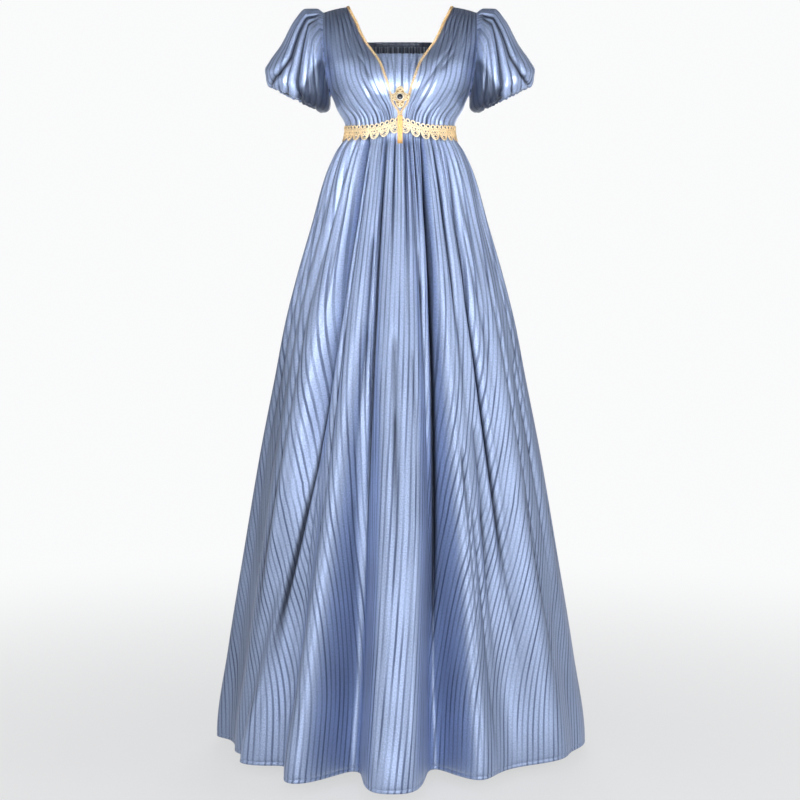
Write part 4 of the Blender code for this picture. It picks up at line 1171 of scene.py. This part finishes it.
def lace_cords(face):
    """The cords of one length of belt: lengths along, drops, half width, lift, closed."""
    pitch = face.whole / SCALLOPS
    half = face.whole / 2
    run = np.linspace(-half + 0.5 * MM, half - 0.5 * MM, 24 * SCALLOPS + 1)
    cords = []
    # the header: two eyelets to a scallop, small ones between them, and a twisted cord
    for n in range(2 * SCALLOPS):
        middle = -half + pitch / 2 * (n + 0.5)
        cords.append(ring_cord(middle, 5.2 * MM, 3.7 * MM, 1.45 * MM, 0.2 * MM))
        cords.append(ring_cord(middle + pitch / 4, 8.3 * MM, 1.5 * MM, 0.75 * MM))
    wave = math.tau * run / (pitch / 4)
    for phase in (0.0, math.pi):
        cords.append((run, 11.7 * MM + 0.8 * MM * np.sin(wave + phase), 0.95 * MM,
                      LACE_LIFT + 0.25 * MM * np.cos(wave + phase), False))
    # the fans: a thick edge, a row of three eyelets over two, and a solid tip
    fan = 12.6 * MM
    deep = BELT_TOP_Z - BELT_FOOT_Z - fan - 0.8 * MM
    for n in range(SCALLOPS):
        middle = -half + pitch * (n + 0.5)
        turn = np.linspace(0, math.pi, 19)
        for share, width in ((1.0, 1.7), (0.80, 0.7)):
            cords.append((middle + share * (pitch / 2 - 1.2 * MM) * np.cos(turn),
                          fan + share * deep * np.sin(turn) ** 0.9, width * MM, LACE_LIFT,
                          False))
        for aside, drop, radius in ((-6.0, 3.0, 2.3), (0, 3.2, 2.5), (6.0, 3.0, 2.3),
                                    (-3.1, 8.2, 2.0), (3.1, 8.2, 2.0)):
            cords.append(ring_cord(middle + aside * MM, fan + drop * MM, radius * MM,
                                   1.0 * MM, 0.1 * MM))
        for k in range(7):
            turn = math.pi * (k + 0.5) / 7
            cords.append(ring_cord(middle + (pitch / 2 - 0.9 * MM) * math.cos(turn),
                                   fan + deep * math.sin(turn) ** 0.9 + 0.3 * MM,
                                   0.8 * MM, 0.7 * MM))
    return cords


def gold_thread(name, low, high):
    """Satin-stitched metallic thread: its gold spread into a pale colour where it stands proud,
    a painted highlight, and brown in its lows, a painted shade; painted shade also darkens
    the gaps between the threads and the sides.
    """
    made, tree, shader = new_material(name, {
        "Metallic": 0.15, "Specular IOR Level": 0.5, "Sheen Weight": 0.2,
        "Sheen Tint": (1.0, 0.92, 0.78, 1.0)})
    place = node(tree, "TexCoord")
    strands = node(tree, "TexNoise", Vector=place.outputs["Object"], Scale=1300.0, Detail=2.0)
    patch = node(tree, "TexNoise", Vector=place.outputs["Object"], Scale=40.0, Detail=1.0)
    mixing = node(tree, "MapRange", Value=strands.outputs[0], From_Min=0.34, From_Max=0.54)
    tone = mixed(tree, mixing.outputs[0], (*low, 1), (*high, 1))
    patchy = mixed(tree, patch.outputs[0], (0.86, 0.80, 0.70, 1), (1.1, 1.08, 1.04, 1))
    tone = mixed(tree, 1.0, tone, patchy, "MULTIPLY")
    # painted shade: dark brown dots where the gaps between the threads would lie in shade
    gaps = node(tree, "TexVoronoi", Vector=place.outputs["Object"], Scale=430.0)
    gaps = node(tree, "MapRange", Value=gaps.outputs["Distance"], From_Min=0.34, From_Max=0.18,
                To_Max=0.8)
    tone = mixed(tree, gaps.outputs[0], tone, (0.22, 0.11, 0.04, 1))
    # painted shade: the colour is darker towards the side seams, where the belt turns away from
    # the light
    aside = node(tree, "SeparateXYZ", i0=place.outputs["Object"])
    wear_and_painted_shade = node(tree, "MapRange", Value=maths(tree, "ABSOLUTE", aside.outputs[0]),
                From_Min=45 * MM, From_Max=112 * MM)
    sides = mixed(tree, wear_and_painted_shade.outputs[0], (1, 1, 1, 1), (0.92, 0.78, 0.60, 1))
    tone = mixed(tree, 1.0, tone, sides, "MULTIPLY")
    finished(tree, shader, tone, strands.outputs[0], (0.3, 0.35), 0.6, 0.25 * MM)
    return made


# the brown low colour is painted shade, the pale high one painted highlight
LACE_THREAD = gold_thread("gold_lace_thread", (0.66, 0.42, 0.18), (1.0, 0.95, 0.74))


def lace_belt(name, front):
    face = BeltFace(front)
    shapes = []
    for along, drop, width, lift, closed in lace_cords(face):
        points, normals = face.at(along, drop, lift + 0 * along)
        shapes.append(tube(points, normals, width, 0.7 * MM, closed=closed))
    made = joined(name + "_lace", shapes, LACE_THREAD)
    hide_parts(name)


lace_belt("belt_front", True)
lace_belt("belt_back", False)

# ---- Neck braids ---------------------------------------------------------------------
# A narrow plaited gold braid with a picot edge, sewn along each side of the V from the
# shoulder seam to the top of the belt.

BRAID_WIDTH = 4.6 * MM
BRAID_END_Z = -221.5 * MM
BRAID_LIFT = 1.5 * MM
BRAID_STEPS = 460
PLAIT_LENGTH = 5.2 * MM
PICOT_PITCH = 3.4 * MM
# the dark low colour is painted shade, the pale high one painted highlight
BRAID_THREAD = gold_thread("gold_braid_thread", (0.24, 0.14, 0.06), (0.98, 0.80, 0.50))


def neck_trim(name, side):
    last = float(down_at(0.0, BRAID_END_Z))
    down = np.linspace(0.0, last, 400)
    base = bodice(side * BODICE.at("opening", down) / outer_edge(down, True)[0], down)
    length = along_rows(base[None])[0]
    even = np.linspace(0, length[-1], BRAID_STEPS)
    down = np.interp(even, length, down)

    def face(offset):
        """Points and normals at a distance from the V edge, for each step along it."""
        edge = outer_edge(down, True)[0]
        inner = BODICE.at("opening", down)
        rows = np.stack([bodice(side * (inner + d) / edge, down)
                         for d in (offset - 0.5 * MM, offset, offset + 0.5 * MM)])
        aside = rows[2] - rows[0]
        ahead = np.gradient(rows[1], axis=0)
        normal = np.cross(aside, ahead)
        normal /= np.linalg.norm(normal, axis=1, keepdims=True)
        normal *= np.sign(-normal[:, 1:2] + 1e-9)
        return rows[1], normal

    shapes = []
    middle = BRAID_WIDTH * 0.45
    wave = math.tau * even / PLAIT_LENGTH
    for k in range(3):
        phase = math.tau * k / 3
        points, normals = face(middle + 1.25 * MM * np.sin(wave + phase))
        lift = BRAID_LIFT + 0.35 * MM * np.sin(2 * (wave + phase))
        shapes.append(tube(points + normals * lift[:, None], normals, 0.62 * MM, 0.5 * MM, 5))
    for offset in (0.3 * MM, BRAID_WIDTH - 0.6 * MM):
        points, normals = face(np.full(len(even), offset))
        shapes.append(tube((points + normals * BRAID_LIFT)[::4], normals[::4], 0.35 * MM,
                           0.4 * MM, 5))
    points, normals = face(np.full(len(even), BRAID_WIDTH - 0.4 * MM))
    aside = np.cross(normals, np.gradient(points, axis=0))
    aside /= np.linalg.norm(aside, axis=1, keepdims=True)
    aside *= side * np.sign(aside[:, :1])
    ahead = np.gradient(points, axis=0)
    ahead /= np.linalg.norm(ahead, axis=1, keepdims=True)
    for n in range(int(even[-1] / PICOT_PITCH)):
        i = min(len(even) - 1, int(len(even) * (n + 0.5) * PICOT_PITCH / even[-1]))
        turn = np.linspace(-0.4, math.pi + 0.4, 7)[:, None]
        loop = (points[i] + normals[i] * BRAID_LIFT + ahead[i] * 1.15 * MM * np.cos(turn)
                + aside[i] * (0.1 * MM + 1.5 * MM * np.sin(turn)))
        shapes.append(tube(loop, np.repeat(normals[i:i + 1], 7, 0), 0.3 * MM, 0.3 * MM, 4))
    made = joined(name + "_braid", shapes, BRAID_THREAD)
    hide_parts(name)


neck_trim("neck_trim_left", 1)
neck_trim("neck_trim_right", -1)

# ---- Brooch --------------------------------------------------------------------------
# A cast filigree cross in pale gilt: a thin plate, wire scrolls and beads on its four arms,
# and a milled ring round a domed black stone. It is sewn where the braids meet.

BROOCH_Z = -187 * MM
BROOCH_HALF = (17.5 * MM, 21.5 * MM)
BROOCH_LEAN = math.radians(13)
BROOCH_THICK = 2.4 * MM
BROOCH_STAND_OFF = 3.8 * MM     # from the cloth to the back of the plate
PLATE_THICK = 1.4 * MM
RIM_STEPS = 96
RING_RADIUS = 6.7 * MM
RING_BEADS = 24
GEM_RADIUS = 5.2 * MM


def brooch_frame():
    """Centre of the plate's back, and its directions across, up and out."""
    depth = -bodice(0.1, float(down_at(0.1, BROOCH_Z)))[1]
    centre = np.array([0, -(depth + BROOCH_STAND_OFF), BROOCH_Z])
    up = np.array([0, math.sin(BROOCH_LEAN), math.cos(BROOCH_LEAN)])
    out = np.array([0, -math.cos(BROOCH_LEAN), math.sin(BROOCH_LEAN)])
    return centre, np.array([1.0, 0, 0]), up, out


def on_brooch(x, y, height):
    centre, across, up, out = brooch_frame()
    x, y, height = np.broadcast_arrays(x, y, height)
    return centre + x[..., None] * across + y[..., None] * up + height[..., None] * out


def brooch_reach(turn):
    arms = 0.60 + 0.40 * np.abs(np.cos(2 * turn)) ** 1.6
    return arms * np.hypot(BROOCH_HALF[0] * np.cos(turn), BROOCH_HALF[1] * np.sin(turn))


def brooch_wire(x, y, width, height=0.55 * MM, closed=False):
    out = brooch_frame()[3]
    points = on_brooch(np.asarray(x), np.asarray(y), BROOCH_THICK * 0.7)
    return tube(points, np.tile(out, (len(points), 1)), width, height, 6, closed)


def bead(x, y, radius, height):
    """A small ball as rings of points."""
    rings, steps = 5, 8
    polar = math.pi * (np.arange(1, rings) / rings)[:, None]
    turn = math.tau * (np.arange(steps) / steps)[None, :]
    verts = on_brooch(x + radius * np.sin(polar) * np.cos(turn),
                      y + radius * np.sin(polar) * np.sin(turn),
                      height + radius * np.cos(polar) + 0 * turn).reshape(-1, 3)
    ends = on_brooch(np.array([x, x]), np.array([y, y]),
                     np.array([height + radius, height - radius]))
    faces = []
    for r in range(rings - 2):
        for k in range(steps):
            m = (k + 1) % steps
            faces.append((r * steps + k, (r + 1) * steps + k, (r + 1) * steps + m,
                          r * steps + m))
    top = len(verts)
    last = (rings - 2) * steps
    for k in range(steps):
        m = (k + 1) % steps
        faces.append((top, k, m))
        faces.append((top + 1, last + m, last + k))
    return np.concatenate([verts, ends]), faces


def gilt(name, low, high):
    """Cast gilt, polished on its highs and toned brown in its recesses."""
    made, tree, shader = new_material(name, {"Metallic": 0.8, "Specular IOR Level": 0.5})
    place = node(tree, "TexCoord")
    noise = node(tree, "TexNoise", Vector=place.outputs["Object"], Scale=700.0, Detail=3.0)
    edge = node(tree, "NewGeometry")
    edge_tone = node(tree, "MapRange", Value=edge.outputs["Pointiness"], From_Min=0.44,
                     From_Max=0.56)
    tone = mixed(tree, edge_tone.outputs[0], (*low, 1), (*high, 1))
    finished(tree, shader, tone, noise.outputs[0], (0.25, 0.2), 0.25, 0.2 * MM)
    return made


def brooch():
    shapes = []
    turn = math.tau * np.arange(RIM_STEPS) / RIM_STEPS
    reach = brooch_reach(turn)
    # the plate, a thin sheet under the wires with a hole for the stone; its dark brown is painted
    # shade for the recesses between the wires
    inner = np.full(RIM_STEPS, GEM_RADIUS + 0.4 * MM)
    outer = 0.93 * reach
    verts = []
    for size, height in ((inner, 0.0), (outer, 0.0), (outer, PLATE_THICK), (inner, PLATE_THICK)):
        verts.append(on_brooch(size * np.cos(turn), size * np.sin(turn), height))
    faces = []
    for r in range(4):
        here = r * RIM_STEPS
        above = (r + 1) % 4 * RIM_STEPS
        for k in range(RIM_STEPS):
            m = (k + 1) % RIM_STEPS
            faces.append((here + k, here + m, above + m, above + k))
    plate = joined("brooch_plate", [(np.concatenate(verts), faces)],
                   gilt("brooch_ground", (0.10, 0.055, 0.02), (0.45, 0.30, 0.14)))
    shapes.append(brooch_wire(reach * np.cos(turn), reach * np.sin(turn), 0.9 * MM,
                              0.9 * MM, True))
    shapes.append(brooch_wire(9.6 * MM * np.cos(turn), 9.6 * MM * np.sin(turn), 0.7 * MM,
                              1.0 * MM, True))
    ring = [brooch_wire(RING_RADIUS * np.cos(turn), RING_RADIUS * np.sin(turn), 1.1 * MM,
                        1.9 * MM, True)]
    for k in range(RING_BEADS):
        spot = math.tau * k / RING_BEADS
        ring.append(bead(6.9 * MM * math.cos(spot), 6.9 * MM * math.sin(spot), 0.85 * MM,
                         3.5 * MM))
    setting = joined("brooch_setting", ring,
                     gilt("brooch_pale_gilt", (0.55, 0.46, 0.34), (1.0, 0.96, 0.86)))
    for arm in range(4):
        lean = math.pi / 2 * arm
        far = BROOCH_HALF[arm % 2]
        for mirror in (-1, 1):
            curl = np.linspace(0, 1, 22)
            radius = far * (0.52 + 0.34 * curl)
            spread = mirror * 0.30 * np.sin(math.pi * curl) * (1 - 0.35 * curl)
            shapes.append(brooch_wire(radius * np.cos(lean + spread),
                                      radius * np.sin(lean + spread), 0.45 * MM))
            eye = np.linspace(0, math.tau, 13)
            x = far * 0.70 * math.cos(lean + mirror * 0.30)
            y = far * 0.70 * math.sin(lean + mirror * 0.30)
            shapes.append(brooch_wire(x + 1.5 * MM * np.cos(eye), y + 1.5 * MM * np.sin(eye),
                                      0.4 * MM))
            shapes.append(bead(x, y, 0.7 * MM, 2.2 * MM))
        for share, size in ((0.62, 1.3), (0.78, 1.5), (0.93, 2.3)):
            shapes.append(bead(share * far * math.cos(lean), share * far * math.sin(lean),
                               size * MM, 2.3 * MM))
        corner = lean + math.pi / 4
        reach_here = float(brooch_reach(np.array(corner)))
        shapes.append(bead(reach_here * math.cos(corner), reach_here * math.sin(corner),
                           1.0 * MM, 2.1 * MM))
    # the trefoil at the head of the cross
    for x, y, radius in ((-3.6, 17.4, 1.9), (3.6, 17.4, 1.9), (0, 20.4, 2.1)):
        shapes.append(bead(x * MM, y * MM, radius * MM, 2.2 * MM))
    made = joined("brooch_filigree", shapes,
                  gilt("brooch_gilt", (0.42, 0.25, 0.09), (1.0, 0.88, 0.62)))
    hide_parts("brooch")


brooch()

# ---- Brooch stone --------------------------------------------------------------------
# A polished black glass cabochon held in the ring. It is an oval ball, its back hidden in
# the setting.

GEM_RINGS = 20
GEM_STEPS = 40
GEM_HALF_HEIGHT = 2.6 * MM
GEM_BACK = 1.4 * MM             # height of its lowest point over the back of the plate


def brooch_gem():
    rings, steps = GEM_RINGS, GEM_STEPS
    polar = math.pi * (np.arange(rings + 1) / rings)[:, None]
    turn = math.tau * (np.arange(steps) / steps)[None, :]
    middle = GEM_BACK + GEM_HALF_HEIGHT
    points = on_brooch(GEM_RADIUS * np.sin(polar) * np.cos(turn),
                       GEM_RADIUS * np.sin(polar) * np.sin(turn),
                       middle + GEM_HALF_HEIGHT * np.cos(polar) + 0 * turn)
    # the two end rings shrink to a point each and are left out: the next ones are capped
    verts = points[1:-1].reshape(-1, 3)
    faces = [(r * steps + k, (r + 1) * steps + k, (r + 1) * steps + (k + 1) % steps,
              r * steps + (k + 1) % steps) for r in range(rings - 2) for k in range(steps)]
    faces.append(tuple(range(steps)))
    faces.append(tuple((rings - 2) * steps + k for k in reversed(range(steps))))
    made_material, tree, shader = new_material("black_glass", {
        "IOR": 1.6, "Coat Weight": 0.6, "Coat Roughness": 0.03})
    place = node(tree, "TexCoord")
    cloud = node(tree, "TexNoise", Vector=place.outputs["Object"], Scale=260.0)
    tone = mixed(tree, cloud.outputs[0], (0.002, 0.002, 0.004, 1), (0.02, 0.02, 0.035, 1))
    tree.links.new(tone, shader.inputs["Base Color"])
    rough = node(tree, "Math", dict(operation="MULTIPLY_ADD"), i0=cloud.outputs[0], i1=0.05,
                 i2=0.04)
    tree.links.new(rough.outputs[0], shader.inputs["Roughness"])
    made = joined("brooch_stone", [(verts, faces)], made_material)
    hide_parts("brooch_gem")


brooch_gem()

# ---- Drop tab ------------------------------------------------------------------------
# A short length of orange-gold satin ribbon, folded down its middle and hung over the
# centre of the belt, its top end turned under.

TAB_HALF_WIDTH = 5.2 * MM
TAB_TOP_Z = -222 * MM
TAB_FOOT_Z = -277 * MM


def ribbon():
    """Ribbed satin ribbon."""
    made, tree, shader = new_material("tab_ribbon", {"Metallic": 0.2, "Sheen Weight": 0.3})
    threads = node(tree, "UVMap", dict(uv_map="threads"))
    ribs = node(tree, "TexWave", dict(bands_direction="Y"), Vector=threads.outputs[0],
                Scale=190.0, Distortion=0.3)
    noise = node(tree, "TexNoise", Vector=threads.outputs[0], Scale=260.0)
    tone = mixed(tree, noise.outputs[0], (0.50, 0.25, 0.06, 1), (0.86, 0.50, 0.17, 1))
    finished(tree, shader, tone, ribs.outputs["Fac"], (0.15, 0.3), 0.35, 0.2 * MM)
    return made


def drop_tab():
    rows, columns = 60, 33
    z = blend(TAB_TOP_Z, TAB_FOOT_Z, np.linspace(0, 1, rows))[:, None]
    place = np.linspace(-1, 1, columns)[None, :]
    hang = -bodice(0.0, float(down_at(0.0, TAB_TOP_Z)))[1]
    on = np.maximum(hang, skirt_radius(0.0, np.minimum(z, EMPIRE_SIDE_Z), True))
    crease = 1.3 * MM * valley(place, 0.0, 0.10, 1.3)
    roll = 0.7 * MM * (1 - np.abs(place) ** 6)
    top = 1 - smooth(0, 6 * MM, TAB_TOP_Z - z)
    wide = TAB_HALF_WIDTH * (1 + 0.06 * top + 0.02 * np.sin(60 * z))
    y = -(on + 4.4 * MM + roll - crease + 0.5 * MM * top)
    points = np.stack(np.broadcast_arrays(place * wide, y, z), -1)
    across = place * TAB_HALF_WIDTH
    made = cloth("drop_tab", points, across, z, ribbon(), wall=1.2 * MM)
    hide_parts("drop_tab")


drop_tab()

# ---- Floor, light and camera ---------------------------------------------------------
# A pale studio floor that runs off into an even background, a large soft light in front
# and weaker ones at the sides, and the camera a little above the waist.

FLOOR_Z = HEM_Z - 0.02
BACKGROUND = (0.955, 0.96, 0.965)
CAMERA_PLACE = (0.0, -4.2, -0.44)
CAMERA_AIM = (0.0, 0.0, -0.796)
CAMERA_LENS = 92.5              # millimetres
CAMERA_SENSOR = 36.0


def studio_floor():
    mesh = bpy.data.meshes.new("studio_floor")
    count, radius = 96, 30.0
    ring = [(radius * math.cos(math.tau * k / count), radius * math.sin(math.tau * k / count),
             FLOOR_Z) for k in range(count)]
    mesh.from_pydata(ring, [], [tuple(range(count))])
    floor = placed("studio_floor", mesh)
    made, tree, shader = new_material("pale_floor", {"Roughness": 0.8})
    place = node(tree, "TexCoord")
    away = node(tree, "VectorMath", dict(operation="LENGTH"), i0=place.outputs["Object"])
    grain = node(tree, "TexNoise", Vector=place.outputs["Object"], Scale=30.0)
    tone = mixed(tree, grain.outputs[0], (0.86, 0.87, 0.88, 1), (0.90, 0.90, 0.91, 1))
    tree.links.new(tone, shader.inputs["Base Color"])
    glow = node(tree, "Emission", Color=(*BACKGROUND, 1), Strength=1.0)
    fade = node(tree, "MapRange", dict(interpolation_type="SMOOTHSTEP"),
                Value=away.outputs["Value"], From_Min=1.2, From_Max=3.0, To_Min=0.6)
    seen = node(tree, "LightPath")
    bounce = maths(tree, "SUBTRACT", 1.0, seen.outputs["Is Camera Ray"])
    factor = maths(tree, "MULTIPLY", fade.outputs[0], seen.outputs["Is Camera Ray"])
    factor = maths(tree, "ADD", factor, maths(tree, "MULTIPLY", bounce, 0.5))
    both = node(tree, "MixShader", i0=factor, i1=shader.outputs[0], i2=glow.outputs[0])
    tree.links.new(both.outputs[0], tree.nodes["Material Output"].inputs[0])
    mesh.materials.append(made)


def aimed(thing, place, aim):
    """A light or camera put at a place and turned towards another."""
    thing.location = place
    way = Vector(aim) - Vector(place)
    thing.rotation_euler = way.to_track_quat("-Z", "Y").to_euler()


def studio_light(name, place, aim, size, power, spread=180):
    light = bpy.data.lights.new(name, "AREA")
    light.shape = "RECTANGLE"
    light.size, light.size_y = size
    light.energy = power
    light.spread = math.radians(spread)
    aimed(placed(name, light), place, aim)


def studio():
    studio_floor()
    world = bpy.data.worlds.new("studio")
    bpy.context.scene.world = world
    world.use_nodes = True
    tree = world.node_tree
    tree.nodes.clear()
    seen = node(tree, "LightPath")
    toward = node(tree, "TexCoord")
    parts = node(tree, "SeparateXYZ", i0=toward.outputs["Generated"])
    ahead = node(tree, "MapRange", dict(interpolation_type="SMOOTHSTEP"),
                 Value=parts.outputs[1], From_Min=0.90, From_Max=-0.20)
    above = node(tree, "MapRange", dict(interpolation_type="SMOOTHSTEP"),
                 Value=parts.outputs[2], From_Min=0.72, From_Max=0.42)
    strength = maths(tree, "MULTIPLY", ahead.outputs[0], above.outputs[0])
    strength = maths(tree, "ADD", maths(tree, "MULTIPLY", strength, 0.88), 0.05)
    soft = node(tree, "Background", Color=(0.97, 0.98, 1.0, 1), Strength=strength)
    plain = node(tree, "Background", Color=(*BACKGROUND, 1), Strength=1.0)
    both = node(tree, "MixShader", i0=seen.outputs["Is Camera Ray"], i1=soft.outputs[0],
                i2=plain.outputs[0])
    output = tree.nodes.new("ShaderNodeOutputWorld")
    tree.links.new(both.outputs[0], output.inputs[0])
    studio_light("key", (0.2, -3.6, -0.35), (0, 0, -0.45), (3.2, 2.2), 34)
    studio_light("low_fill", (0, -4.5, -1.0), (0, 0, -0.10), (3.0, 0.5), 7.0, spread=18)
    studio_light("left_fill", (-3.4, -1.6, -0.5), (0, 0, -0.6), (0.6, 1.6), 6)
    studio_light("right_fill", (3.4, -1.2, -0.5), (0, 0, -0.6), (0.6, 1.6), 13)
    studio_light("back_light", (0.4, 4.4, 0.2), (0, 0, -0.7), (2.4, 2.0), 60)
    camera = bpy.data.cameras.new("camera")
    camera.lens = CAMERA_LENS
    camera.sensor_width = CAMERA_SENSOR
    bpy.context.scene.camera = placed("camera", camera)
    aimed(bpy.context.scene.camera, CAMERA_PLACE, CAMERA_AIM)
    bpy.context.scene.view_settings.view_transform = "Standard"


studio()
